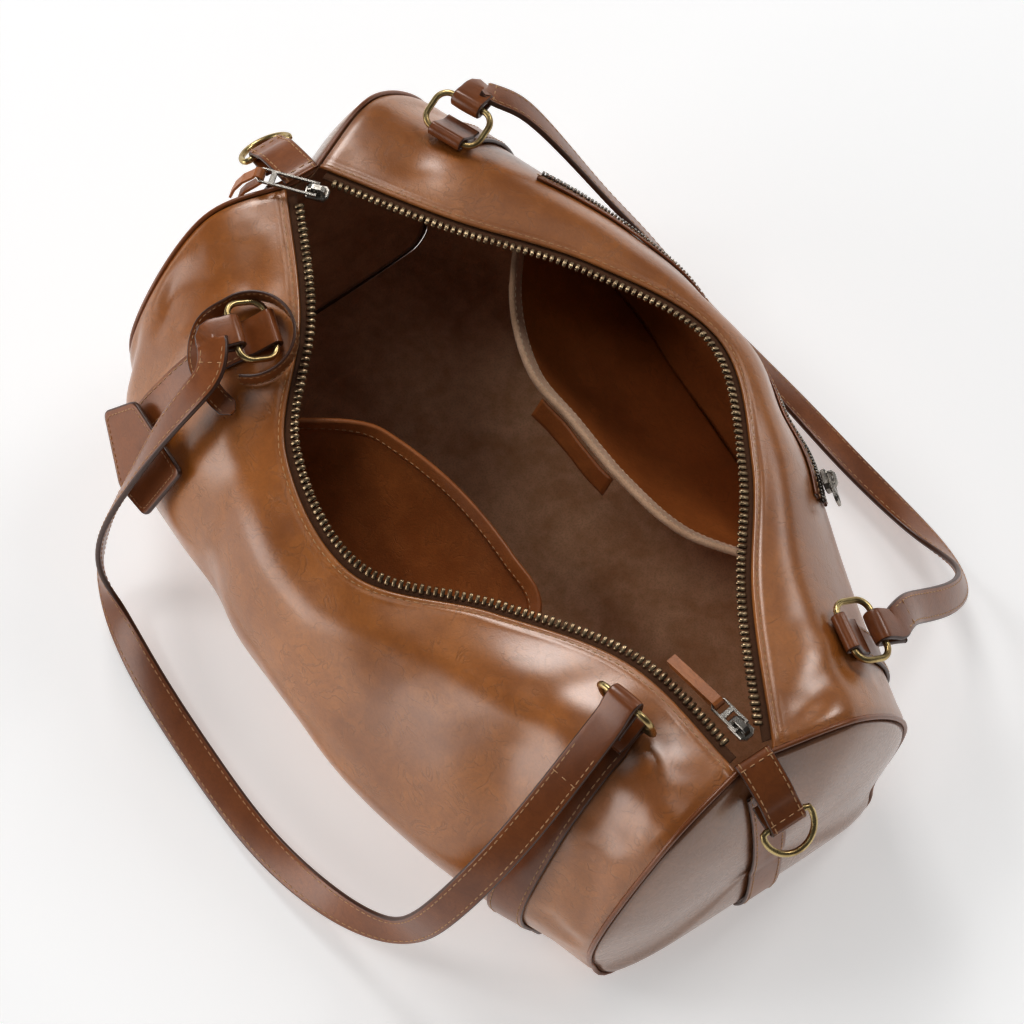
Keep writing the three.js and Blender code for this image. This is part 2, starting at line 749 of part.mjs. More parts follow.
function slab(shape, depth, bevel) {
  const made = new THREE.ExtrudeGeometry(shape, {
    depth: depth - 2 * bevel,
    steps: 1,
    curveSegments: 4,
    bevelEnabled: bevel > 0,
    bevelThickness: bevel,
    bevelSize: bevel,
    bevelOffset: -bevel,
    bevelSegments: 1,
  });
  return made.translate(0, 0, bevel - depth / 2);
}

// Each end of the bag: a folded tab with a D-ring, a strap down the panel, a zip slider and its puller.
const dRadius = 14;
const dLeg = 3;
const dTilt = THREE.MathUtils.degToRad(50);
const barDrop = 17;
const tabWidth = 20;
const sliderLong = 13;
const sliderWide = 9;
const sliderBase = 3;
const archWide = 3.6;
const archMiddle = 2.8;
const pullThick = 1.5;
const pullWide = 9;
const tails = {
  left: { plate: 30, lean: -0.85, fall: 0.06 },
  right: { plate: 16, lean: -0.13, fall: -0.06 },
};
const yAxis = vec(0, 1, 0);
const thongTurn = 2.2;
const thongWide = 5.5;
const thongThick = 1.4;
const tagStrapWide = 11;
const bindingHigh = 7;
const bindingThick = 2.4;
const patchStand = 1.8;
// A zip slider: a base with an arch over it, its length along fore.
function sliderAt(seat, fore, up) {
  const beside = vec(0, 0, 0).crossVectors(up, fore);
  const half = sliderLong / 2;
  const base = outlined([
    [-half, -2.2],
    [-half + 2, -sliderWide / 2],
    [half - 2, -sliderWide / 2],
    [half, -2.2],
    [half, 2.2],
    [half - 2, sliderWide / 2],
    [-half + 2, sliderWide / 2],
    [-half, 2.2],
  ]);
  const arch = outlined(
    [
      [-half + 1, 0],
      [half - 1, 0],
      [half - 2, 4.4],
      [half - 4, 5.6],
      [-half + 4, 5.6],
      [-half + 2, 4.4],
    ],
    [
      [
        [-half + 3, 1.7],
        [-half + 4, 3.9],
        [half - 4, 3.9],
        [half - 3, 1.7],
      ],
    ],
  );
  return join([
    placeAt(slab(base, sliderBase, 0.6), seat, fore, beside, up),
    placeAt(slab(arch, archWide, 0.4), seat, fore, up, beside.clone().negate()),
  ]);
}

// A puller's metal plate, its inner bar at pin.
function plateAt(plate, pin, way, across, over) {
  const hw = pullWide / 2;
  const plateShape = outlined(
    [
      [-0.8, -hw],
      [plate, -hw],
      [plate + 2, -hw + 2],
      [plate + 2, hw - 2],
      [plate, hw],
      [-0.8, hw],
    ],
    [
      [
        [0.8, -hw + 1.6],
        [0.8, hw - 1.6],
        [plate - 8, hw - 1.6],
        [plate - 8, -hw + 1.6],
      ],
      [
        [plate - 5, -hw + 1.2],
        [plate - 5, hw - 1.2],
        [plate, hw - 1.2],
        [plate, -hw + 1.2],
      ],
    ],
  );
  return placeAt(slab(plateShape, pullThick, 0.25), pin, way, across, over);
}

for (const { side, share, sign } of ends) {
  const rim = seam(share, leather / 2);
  const top = rim[0].clone().lerp(rim[seamPoints - 1], 0.5);
  const low = rim[seamPoints / 2 - 1].clone().lerp(rim[seamPoints / 2], 0.5);
  const middle = rim.reduce((sum, p) => sum.add(p), vec(0, 0, 0)).divideScalar(rim.length);
  const out = vec(sign, 0, 0);

  const bar = vec(middle.x + sign * (endBulge + 10), 0, top.z - barDrop);
  const lift = (x, z) => vec(x, 0, z);
  const rise = top.z + leather - gap;
  const tab = [lift(bar.x - sign * 13, bar.z + 1.2), lift(bar.x - sign * 6, bar.z - 2.2)];
  const turnFrom = -0.3;
  for (let i = 0; i <= 7; i++) {
    const angle = turn * (turnFrom + (0.42 * i) / 7);
    tab.push(lift(bar.x + sign * loopRadius * Math.cos(angle), bar.z + loopRadius * Math.sin(angle)));
  }
  tab.push(lift(bar.x - sign * 4, bar.z + 7));
  tab.push(lift(bar.x - sign * 10, bar.z + 12.5));
  tab.push(lift(top.x + sign * 3, rise + 1));
  tab.push(lift(top.x - sign * 3, rise + 1.6));
  add(`end_tab_${side}`, strap(sided(tab, tab.map(() => yAxis)), tabWidth, strapThick), "leather");

  const ring = [];
  const drop = out.clone().multiplyScalar(Math.sin(dTilt)).add(vec(0, 0, -Math.cos(dTilt)));
  const dPoint = (a, b) => bar.clone().addScaledVector(yAxis, a).addScaledVector(drop, b);
  for (let i = -2; i <= 2; i++) ring.push(dPoint((i / 2) * (dRadius - 2), 0));
  ring.push(dPoint(dRadius, 2));
  for (let i = 0; i <= 12; i++) {
    const angle = (turn / 2) * (i / 12);
    ring.push(dPoint(dRadius * Math.cos(angle), dLeg + dRadius * Math.sin(angle)));
  }
  ring.push(dPoint(-dRadius, 2));
  const flat = vec(0, 0, 0).crossVectors(yAxis, drop);
  add(`d_ring_${side}`, tube(ring, wire, 6, () => flat.clone()), "brass");

  const bands = [];
  for (let i = 0; i <= 11; i++) {
    const z = mix(top.z - 14, low.z + 5, i / 11);
    const at = (w, lift) => {
      const y = middle.y + (w * strapWidth) / 2;
      const x = discReach(share, y, z, pipingRadius + 2 * gap, leather / 2, endBulge);
      return vec(x + sign * lift, y, z);
    };
    const over = acrossStrap.map((w) => at(w, 3 * gap + strapThick));
    bands.push([...over, ...backAcross.map((w) => at(w, 3 * gap))]);
  }
  add(`end_strap_${side}`, fromRings(bands, false), "leather");

  // The slider: a base with an arch over it, at the end of the teeth.
  const edgeShare = share < 0.5 ? 0.03 : 0.964;
  const seat = onSection(edgeShare, 0).lerp(onSection(edgeShare, girthAt(edgeShare)), 0.5);
  seat.z += sliderBase / 2 + gap - teethDrop;
  const { plate, lean, fall } = tails[side];
  const fore = (side === "left" ? out.clone() : out.clone().negate()).add(vec(0, lean, 0)).normalize();
  const up = vec(0, 0, 1);
  add(`zip_slider_${side}`, sliderAt(seat, fore, up), "nickel");

  // The puller: a metal plate whose inner bar lies in the arch, and a leather thong through its slot.
  const way = fore.clone().add(vec(0, 0, fall)).normalize();
  const across = vec(0, 0, 0).crossVectors(up, way).normalize();
  const over = vec(0, 0, 0).crossVectors(way, across);
  const pin = seat.clone().add(vec(0, 0, archMiddle));
  add(`pull_plate_${side}`, plateAt(plate, pin, way, across, over), "nickel");

  // The leather thong, doubled through the plate's slot.
  const slot = pin.clone().addScaledVector(way, plate + 1);
  const thong = [];
  if (side === "left") {
    for (const [a, b] of [[17, -27], [14, -18], [9, -8.5], [3.8, -2.2]]) thong.push([a, b]);
    for (let i = 0; i <= 5; i++) {
      const angle = (turn / 2) * (i / 5);
      thong.push([thongTurn * Math.cos(angle), thongTurn * Math.sin(angle)]);
    }
    for (const [a, b] of [[-2, -3], [2.4, -9.5], [8.5, -18], [12, -25]]) thong.push([a, b]);
  } else {
    for (const [a, b] of [[32, 0.6], [20, 1.2], [8, 1.8]]) thong.push([a, b]);
    for (let i = 0; i <= 5; i++) {
      const angle = turn * (0.25 + (0.5 * i) / 5);
      thong.push([thongTurn * Math.cos(angle), thongTurn * Math.sin(angle)]);
    }
    for (const [a, b] of [[8, -1.8], [20, -1.2], [30, -1.4]]) thong.push([a, b]);
  }
  const line = thong.map(([a, b]) => {
    const hang = side === "left" ? vec(0, 0, 1) : over;
    return slot.clone().addScaledVector(way, a).addScaledVector(hang, b);
  });
  const laid = strap(sided(line, line.map(() => across)), thongWide, thongThick);
  add(`pull_thong_${side}`, laid, "leather");
}

// The luggage tag's strap goes round the front left ring on edge, and its pointed tail lies on the shell.
const hoop = frames.front_left;
const hoopBase = shell(hoop.share, hoop.distance, 0).addScaledVector(hoop.away, 11).addScaledVector(hoop.side, 2.5);
const hoopRadius = 23.2;
const tagStrapThick = 1.6;
function nearHoop(a, t, n) {
  const p = hoopBase.clone().addScaledVector(hoop.side, a).addScaledVector(hoop.away, t);
  return p.addScaledVector(hoop.n, n);
}
const hoopRows = [
  { along: 34, down: 20, lift: 2.4, edge: 0, wide: 0.25 },
  { along: 30, down: 22, lift: 2.6, edge: 0, wide: 1 },
  { along: 22, down: 26, lift: 3.2, edge: 0, wide: 1 },
  { along: 10, down: 29, lift: 4.2, edge: 0, wide: 1 },
  { along: -3, down: 28, lift: 4.4, edge: 0, wide: 1 },
  { along: -16, down: 20, lift: 6, edge: 0.45, wide: 1 },
];
for (let i = 0; i <= 12; i++) {
  const angle = turn * (0.46 + (0.62 * i) / 12);
  hoopRows.push({
    along: hoopRadius * Math.cos(angle),
    down: hoopRadius * Math.sin(angle),
    lift: 8.5,
    edge: 1,
    wide: 1,
  });
}
const hoopLine = hoopRows.map(({ along, down, lift }) => nearHoop(along, down, lift));
const hoopSides = hoopRows.map(({ along, down, edge }, i) => {
  const next = hoopLine[Math.min(i + 1, hoopLine.length - 1)];
  const ahead = next.clone().sub(hoopLine[Math.max(0, i - 1)]).normalize();
  const flat = vec(0, 0, 0).crossVectors(hoop.n, ahead).normalize();
  return flat.multiplyScalar(1 - edge).addScaledVector(hoop.n, edge).normalize();
});
const hoopStops = sided(hoopLine, hoopSides);
add(
  "tag_strap",
  fromRings(
    hoopStops.map(({ p, side, face }, i) => {
      const w = (tagStrapWide / 2) * hoopRows[i].wide;
      const h = tagStrapThick / 2;
      return [[-w, -h], [w, -h], [w, h], [-w, h]].map(([a, b]) =>
        p.clone().addScaledVector(side, a).addScaledVector(face, b),
      );
    }),
    false,
  ),
  "leather",
);

// The luggage tag leans on the front, below the ring.
const tagThick = 3;
const tagRows = [
  { along: -0.785, across: -0.865, up: 0.72 },
  { along: -0.53, across: -0.905, up: 0.755 },
  { along: -0.56, across: -1.03, up: 0.53 },
  { along: -0.685, across: -1.05, up: 0.505 },
  { along: -0.86, across: -0.965, up: 0.6 },
];
const tagCorners = tagRows.map(placed);
const tagNormal = vec(0, 0, 0)
  .crossVectors(tagCorners[2].clone().sub(tagCorners[0]), tagCorners[4].clone().sub(tagCorners[1]))
  .normalize();
if (tagNormal.z < 0) tagNormal.negate();
const tagFaces = [-1, 1].map((w) => tagCorners.map((p) => p.clone().addScaledVector(tagNormal, (w * tagThick) / 2)));
add("luggage_tag", fromRings(tagFaces, false), "leather");

// Pockets inside: each is a sheet from a gaping top edge down to the foot of its wall.
function hung(name, rows, columns, at, thick, colour) {
  const points = [];
  for (let i = 0; i <= rows; i++) {
    const line = [];
    for (let j = 0; j <= columns; j++) line.push(at(i / rows, j / columns));
    points.push(line);
  }
  const normal = (i, j) => {
    const a = points[Math.min(rows, i + 1)][j].clone().sub(points[Math.max(0, i - 1)][j]);
    const b = points[i][Math.min(columns, j + 1)].clone().sub(points[i][Math.max(0, j - 1)]);
    return a.cross(b).normalize();
  };
  const cell = (a, b) => [Math.round(a * rows), Math.round(b * columns)];
  const outer = (a, b) => {
    const [i, j] = cell(a, b);
    return points[i][j].clone();
  };
  const inner = (a, b) => {
    const [i, j] = cell(a, b);
    return points[i][j].clone().addScaledVector(normal(i, j), thick);
  };
  add(name, wall(rows, columns, outer, inner), colour);
}

const pocketRows = {
  front_pocket: {
    top: [
      { along: -0.53, across: -0.56, up: 0.78 },
      { along: -0.4, across: -0.3, up: 0.755 },
      { along: -0.3, across: -0.215, up: 0.74 },
      { along: -0.105, across: -0.145, up: 0.715 },
      { along: 0.1, across: -0.125, up: 0.68 },
      { along: 0.25, across: -0.15, up: 0.63 },
      { along: 0.36, across: -0.45, up: 0.6 },
    ],
    firstRow: 4,
    foot: 6,
  },
  back_pocket: {
    top: [
      { along: -0.66, across: 0.6, up: 0.8 },
      { along: -0.475, across: 0.4, up: 0.75 },
      { along: -0.295, across: 0.313, up: 0.7 },
      { along: -0.13, across: 0.333, up: 0.667 },
      { along: 0.08, across: 0.347, up: 0.655 },
      { along: 0.295, across: 0.393, up: 0.68 },
      { along: 0.47, across: 0.52, up: 0.72 },
    ],
    firstRow: 4,
    foot: shellColumns - 6,
  },
};
const pocketThick = 1.2;
const pocketSpan = 10;
const bindingRadius = 3.2;
const pocketFaces = {};
const pocketParts = [
  { sheetName: "front_pocket", edgeName: "pocket_binding", sag: 1, colour: "leather" },
  { sheetName: "back_pocket", edgeName: "pocket_band", sag: -1, colour: "lining" },
];
for (const { sheetName, edgeName, sag, colour } of pocketParts) {
  const over = easy(pocketRows[sheetName].top.map(placed));
  const { firstRow, foot } = pocketRows[sheetName];
  const under = (a) => {
    const share = innerRows[firstRow + Math.round(a * pocketSpan)];
    return shell(share, column(foot, share), liningDepth + liningThick + gap + pocketThick);
  };
  const at = (a, b) => {
    const p = over.getPoint(a).lerp(under(a), b);
    p.y += sag * 10 * Math.sin(Math.PI * b) * Math.sin(Math.PI * a);
    p.z -= bindingRadius * (1 - b);
    return p;
  };
  pocketFaces[sheetName] = at;
  hung(sheetName, pocketSpan, 4, at, pocketThick, colour);
  const points = [];
  for (let i = 0; i <= 16; i++) {
    const p = over.getPoint(i / 16);
    p.z += bindingHigh / 2 - bindingRadius + 4 * gap;
    points.push(p);
  }
  add(edgeName, strap(sided(points, points.map(() => vec(0, 0, 1))), bindingHigh, bindingThick), colour);
}

// The leather wall behind the back pocket, and the bare leather patch under the pocket's band.
add("pocket_backing", sheet(innerRows.slice(6, 16), shellColumns - 5, shellColumns - 2, liningDepth + liningThick + gap, 1), "leather");
function patch(a, b) {
  const p = pocketFaces.back_pocket(mix(0.4, 0.64, a), mix(0.05, 0.17, b));
  p.y -= patchStand;
  return p;
}
hung("pocket_patch", 6, 1, patch, 1, "leather");

// The outside zip pocket on the back: a closed zip on the panel, its slider and its ring pull.
const outerZip = { from: 0.2, to: 0.72, down: 66, wide: 12, teeth: 4 };
const zipRows = 14;
const zipBands = [];
const toothBands = [];
for (let i = 0; i <= zipRows; i++) {
  const share = mix(outerZip.from, outerZip.to, i / zipRows);
  const at = (w, depth) => shell(share, girthAt(share) - outerZip.down + w, -depth);
  const half = outerZip.wide / 2;
  zipBands.push([at(-half, 2.2), at(0, 2.2), at(half, 2.2), at(half, 1.2), at(0, 1.2), at(-half, 1.2)]);
  const tooth = outerZip.teeth / 2;
  toothBands.push([at(-tooth, 4), at(tooth, 4), at(tooth, 2.6), at(-tooth, 2.6)]);
}
add("back_zip_tape", fromRings(zipBands, false), "tape");
add("back_zip_teeth", fromRings(toothBands, false), "brass");

const outerShare = outerZip.to - 0.02;
const outerDown = girthAt(outerShare) - outerZip.down;
const outerWay = directions(outerShare, outerDown);
const outerSeat = shell(outerShare, outerDown, -4 - 2 * gap - sliderBase / 2);
add("back_zip_slider", sliderAt(outerSeat, outerWay.s, outerWay.n), "nickel");
const outerPin = outerSeat.clone().addScaledVector(outerWay.n, archMiddle);
const outerAcross = vec(0, 0, 0).crossVectors(outerWay.n, outerWay.s).normalize();
const outerPlate = plateAt(14, outerPin, outerWay.s, outerAcross, outerWay.n);
add("back_zip_pull", outerPlate, "nickel");

// Sets the middle of the bag's footprint at the origin.
const box = new THREE.Box3().setFromObject(bag);
const centre = box.getCenter(vec(0, 0, 0));
bag.traverse((mesh) => {
  if (mesh.isMesh) mesh.geometry.translate(-centre.x, -centre.y, -box.min.z);
});

export default bag;
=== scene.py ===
import json
import math
import bpy
import numpy as np
from mathutils import Matrix, noise

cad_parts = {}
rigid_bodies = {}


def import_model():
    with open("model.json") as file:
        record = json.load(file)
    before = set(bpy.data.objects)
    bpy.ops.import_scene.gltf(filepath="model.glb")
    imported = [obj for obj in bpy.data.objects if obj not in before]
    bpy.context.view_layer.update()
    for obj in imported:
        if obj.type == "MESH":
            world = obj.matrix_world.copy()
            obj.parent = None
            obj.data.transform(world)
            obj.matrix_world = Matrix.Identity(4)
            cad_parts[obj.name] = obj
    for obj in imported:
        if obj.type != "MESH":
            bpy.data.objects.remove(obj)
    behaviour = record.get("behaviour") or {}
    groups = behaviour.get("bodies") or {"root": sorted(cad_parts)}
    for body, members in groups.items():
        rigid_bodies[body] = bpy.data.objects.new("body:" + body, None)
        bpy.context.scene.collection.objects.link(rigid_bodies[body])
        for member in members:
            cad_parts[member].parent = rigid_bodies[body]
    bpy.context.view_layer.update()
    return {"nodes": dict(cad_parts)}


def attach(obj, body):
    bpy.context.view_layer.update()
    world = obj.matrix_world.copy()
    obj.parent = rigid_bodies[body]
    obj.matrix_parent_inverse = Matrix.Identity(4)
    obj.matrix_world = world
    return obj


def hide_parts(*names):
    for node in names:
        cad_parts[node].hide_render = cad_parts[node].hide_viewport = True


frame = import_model()
scene = bpy.context.scene
print("frame loaded")

# Camera at the photo's angle: degrees, metres, millimetres of lens
cameraSet = {"azimuth": 55.575, "elevation": 64, "distance": 1.8, "lens": 122.24, "right": -0.00675, "up": 0.01878}
middle = np.array([-0.0040386, 0.0021189, 0])  # the CAD frame's origin in the shell's own frame


def addCamera():
    a, e = math.radians(cameraSet["azimuth"]), math.radians(cameraSet["elevation"])
    right = (math.cos(a), math.sin(a), 0)
    up = (-math.sin(a) * math.sin(e), math.cos(a) * math.sin(e), math.cos(e))
    back = (math.sin(a) * math.cos(e), -math.cos(a) * math.cos(e), math.sin(e))
    eye = [0.08 * (i == 2) - middle[i] + cameraSet["distance"] * back[i] for i in range(3)]
    data = bpy.data.cameras.new("camera")
    data.lens, data.sensor_width = cameraSet["lens"], 36
    data.shift_x, data.shift_y = cameraSet["right"], cameraSet["up"]
    made = bpy.data.objects.new("camera", data)
    made.matrix_world = Matrix([(right[i], up[i], back[i], eye[i]) for i in range(3)] + [(0, 0, 0, 1)])
    scene.collection.objects.link(made)
    scene.camera = made


addCamera()

# The shell: ten lines from end to end in shares of half length, half width and height, as in the CAD
halfLength, halfWidth, height = 0.2, 0.15, 0.165
soleHeight = 0.0035
guideRows = [
    [(-0.99, -0.02, 0.985), (-0.645, -0.26, 0.97), (-0.365, -0.567, 0.927), (-0.005, -0.627, 0.903),  # frontEdge
     (0.285, -0.32, 0.915), (0.6, -0.073, 0.958), (0.98, -0.02, 1)],
    [(-1.055, -0.37, 0.93), (-0.72, -0.6, 0.89), (-0.4, -0.82, 0.82), (-0.015, -0.87, 0.77),  # frontUpper
     (0.31, -0.65, 0.84), (0.655, -0.46, 0.92), (1.03, -0.36, 0.95)],
    [(-1.0, -0.73, 0.63), (-0.76, -0.93, 0.53), (-0.4, -0.99, 0.49), (-0.02, -0.995, 0.45),  # frontBelly
     (0.33, -0.965, 0.45), (0.7, -0.83, 0.48), (1.03, -0.62, 0.54)],
    [(-1.02, -0.66, 0.19), (-0.75, -0.81, 0.13), (-0.4, -0.86, 0.12), (-0.01, -0.87, 0.11),  # frontFoot
     (0.33, -0.84, 0.11), (0.68, -0.75, 0.12), (0.995, -0.615, 0.13)],
    [(-1.02, -0.42, 0), (-0.73, -0.57, 0), (-0.38, -0.61, 0), (0, -0.63, 0),  # frontSole
     (0.33, -0.61, 0), (0.66, -0.55, 0), (1.015, -0.45, 0)],
    [(-1.05, 0.4, 0), (-0.74, 0.56, 0), (-0.38, 0.61, 0), (0, 0.64, 0),  # backSole
     (0.33, 0.61, 0), (0.66, 0.53, 0), (1.02, 0.44, 0)],
    [(-1.09, 0.6, 0.19), (-0.78, 0.75, 0.13), (-0.42, 0.84, 0.12), (-0.04, 0.88, 0.12),  # backFoot
     (0.31, 0.81, 0.12), (0.69, 0.68, 0.13), (1, 0.58, 0.15)],
    [(-1.15, 0.66, 0.6), (-0.82, 0.83, 0.56), (-0.44, 0.98, 0.53), (-0.06, 1.01, 0.52),  # backBelly
     (0.31, 0.94, 0.51), (0.7, 0.77, 0.52), (1.01, 0.65, 0.52)],
    [(-1.13, 0.41, 0.91), (-0.76, 0.64, 0.89), (-0.41, 0.84, 0.85), (-0.04, 0.96, 0.8),  # backUpper
     (0.31, 0.82, 0.83), (0.65, 0.57, 0.89), (1.025, 0.4, 0.92)],
    [(-0.99, 0.03, 0.985), (-0.67, 0.3, 0.97), (-0.37, 0.62, 0.927), (-0.03, 0.82, 0.903),  # backEdge
     (0.31, 0.62, 0.915), (0.615, 0.313, 0.958), (0.985, 0.035, 1)],
]
guides = np.array(guideRows) * [halfLength, halfWidth, height]
acrossSamples = np.linspace(0, 1, 241)


def spline(points, t):
    points = np.asarray(points, float)
    count = len(points)
    q = np.clip(np.atleast_1d(np.asarray(t, float)), 0, 1) * (count - 1)
    i = np.clip(np.floor(q).astype(int), 0, count - 2)
    w = (q - i).reshape((-1,) + (1,) * (points.ndim - 1))
    wide = np.concatenate([[2 * points[0] - points[1]], points, [2 * points[-1] - points[-2]]])
    p0, p1, p2, p3 = wide[i], wide[i + 1], wide[i + 2], wide[i + 3]
    a, b = (p2 - p0) / 2, (p3 - p1) / 2
    square, cube = w**2, w**3
    ease = 3 * square - 2 * cube
    return (1 - ease) * p1 + (cube - 2 * square + w) * a + ease * p2 + (cube - square) * b


def unit(v):
    return v / np.maximum(np.linalg.norm(v, axis=-1, keepdims=True), 1e-12)


def sections(shares):
    at = spline(guides.transpose(1, 0, 2), shares)
    line = spline(at.transpose(1, 0, 2), acrossSamples).transpose(1, 0, 2)
    line[..., 2] = np.maximum(line[..., 2], soleHeight)
    steps = np.linalg.norm(np.diff(line, axis=1), axis=2)
    return line, np.concatenate([np.zeros((len(line), 1)), np.cumsum(steps, axis=1)], axis=1)


def place(shares, keep):
    line, reach = sections(shares)
    out = np.empty(keep.shape + (3,))
    for i in range(len(shares)):
        for k in range(3):
            out[i, :, k] = np.interp(keep[i] * reach[i, -1], reach[i], line[i, :, k])
    return out


def girth(shares):
    return sections(np.atleast_1d(shares))[1][:, -1]


# Points, outward directions and both tangents of the shell, for shares along it and shares round each row
def onShell(shares, keep):
    shares = np.asarray(shares, float)
    keep = np.asarray(keep, float)
    lo, hi = np.clip(shares - 0.004, 0, 1), np.clip(shares + 0.004, 0, 1)
    s = unit(place(hi, keep) - place(lo, keep))
    g = girth(shares)[:, None]
    t = unit(place(shares, np.clip(keep + 0.003 / g, 0, 1)) - place(shares, np.clip(keep - 0.003 / g, 0, 1)))
    return place(shares, keep), -unit(np.cross(s, t)), s, t


def smooth(x, a, b):
    q = np.clip((x - a) / (b - a), 0, 1)
    return q * q * (3 - 2 * q)


def wave(points, size, seed):
    flat = points.reshape(-1, 3) / size + seed
    return np.array([noise.noise(p) for p in flat]).reshape(points.shape[:-1])


# Relief of the leather: each fold is share and keep at both ends, depth and width in metres
bodyFolds = [
    (0.30, 0.02, 0.345, 0.17, -0.0035, 0.020),
    (0.345, 0.17, 0.33, 0.30, -0.0025, 0.024),
    (0.475, 0.03, 0.46, 0.17, -0.0010, 0.014),
    (0.52, 0.05, 0.54, 0.13, -0.0008, 0.014),
    (0.67, 0.085, 0.75, 0.11, -0.0003, 0.008),
    (0.60, 0.19, 0.66, 0.205, -0.0006, 0.006),
    (0.79, 0.07, 0.83, 0.03, -0.0008, 0.010),
    (0.90, 0.03, 0.93, 0.12, -0.0022, 0.012),
    (0.80, 0.12, 0.86, 0.22, -0.0018, 0.016),
    (0.955, 0.16, 0.985, 0.22, -0.0016, 0.007),
    (0.94, 0.24, 0.985, 0.26, -0.0014, 0.007),
    (0.05, 0.13, 0.10, 0.05, -0.0022, 0.012),
    (0.03, 0.20, 0.08, 0.28, -0.0018, 0.012),
    (0.20, 0.10, 0.25, 0.20, -0.0020, 0.018),
    (0.04, 0.86, 0.09, 0.95, -0.0018, 0.012),
    (0.42, 0.80, 0.46, 0.93, -0.0022, 0.016),
    (0.62, 0.78, 0.60, 0.92, -0.0020, 0.016),
    (0.93, 0.90, 0.97, 0.96, -0.0014, 0.009),
]


skinLong, skinRound = 0.42, 0.62  # the leather's length and mean girth


def relief(shares, keep, base):
    x, y = shares * skinLong, keep * skinRound
    rise = 0.0008 * wave(base, 0.11, 3.1) + 0.00018 * wave(base, 0.024, 9.7)
    rise += 0.00035 * wave(base, 0.011, 5.3) * smooth(np.abs(shares - 0.5), 0.28, 0.46)
    for s0, k0, s1, k1, depth, width in bodyFolds:
        ax, ay, bx, by = s0 * skinLong, k0 * skinRound, s1 * skinLong, k1 * skinRound
        dx, dy = bx - ax, by - ay
        q = np.clip(((x - ax) * dx + (y - ay) * dy) / (dx * dx + dy * dy), 0, 1)
        far = np.hypot(x - ax - q * dx, y - ay - q * dy)
        rise += depth * (np.exp(-((far / width) ** 2)) - 0.25 * np.exp(-(((far - 1.9 * width) / width) ** 2)))
    fade = smooth(y, 0.004, 0.03) * smooth((1 - keep) * skinRound, 0.004, 0.03)
    fade *= smooth(shares, 0.0, 0.035) * smooth(1 - shares, 0.0, 0.035)
    return rise * fade * (0.25 + 0.75 * smooth(base[..., 2], 0.004, 0.03))


# A point of the leather's outer face with its relief, raised by lift
def onLeather(shares, keep, lift=0.0):
    p, n, s, t = onShell(shares, keep)
    wide = np.broadcast_to(np.asarray(shares)[:, None], keep.shape)
    return p + n * (relief(wide, keep, p) + lift)[..., None], n, s, t


class Sh:  # a shader socket that does sums
    def __init__(self, tree, socket):
        self.tree, self.socket = tree, socket

    def node(self, kind, inputs, out=0, **settings):
        made = self.tree.nodes.new(kind)
        for key, value in settings.items():
            setattr(made, key, value)
        for key, value in inputs.items():
            if isinstance(value, Sh):
                self.tree.links.new(value.socket, made.inputs[key])
            else:
                made.inputs[key].default_value = value
        return Sh(self.tree, made.outputs[out])

    def sum(self, kind, *values):
        return self.node("ShaderNodeMath", dict(enumerate(values)), operation=kind)

    def __add__(self, other):
        return self.sum("ADD", self, other)

    def __sub__(self, other):
        return self.sum("SUBTRACT", self, other)

    def __mul__(self, other):
        return self.sum("MULTIPLY", self, other)

    def __rsub__(self, other):
        return self.sum("SUBTRACT", other, self)

    __radd__ = __add__
    __rmul__ = __mul__

    def between(self, lo, hi):
        return self.node("ShaderNodeMapRange", {0: self, 1: lo, 2: hi, 3: 0.0, 4: 1.0}, interpolation_type="SMOOTHSTEP")

    def noise(self, size, detail=3.0, twist=0.0):
        inputs = {"Vector": self, "Scale": 1 / size, "Detail": detail, "Distortion": twist}
        return self.node("ShaderNodeTexNoise", inputs)

    def cells(self, size):
        return self.node("ShaderNodeTexVoronoi", {"Vector": self, "Scale": 1 / size})

    def blend(self, a, b):
        return self.node("ShaderNodeMix", {0: self, 6: a, 7: b}, out=2, data_type="RGBA")


def newMaterial(name):
    made = bpy.data.materials.new(name)
    made.use_nodes = True
    tree = made.node_tree
    shader = tree.nodes["Principled BSDF"]
    at = Sh(tree, tree.nodes.new("ShaderNodeTexCoord").outputs["Object"])
    return made, tree, shader, at


def bump(tree, shader, rise, distance):
    made = tree.nodes.new("ShaderNodeBump")
    made.inputs["Strength"].default_value = 1.0
    made.inputs["Distance"].default_value = distance
    tree.links.new(rise.socket, made.inputs["Height"])
    tree.links.new(made.outputs[0], shader.inputs["Normal"])


def colour(r, g, b):
    return (r, g, b, 1.0)


glossSet = {"specular": 0.25, "coatRough": 0.29, "coatIor": 1.95, "relief": 0.00015}
edgePaint = colour(0.075, 0.024, 0.009)


def dimmed(tone, share):
    return colour(*[c * share for c in tone[:3]])


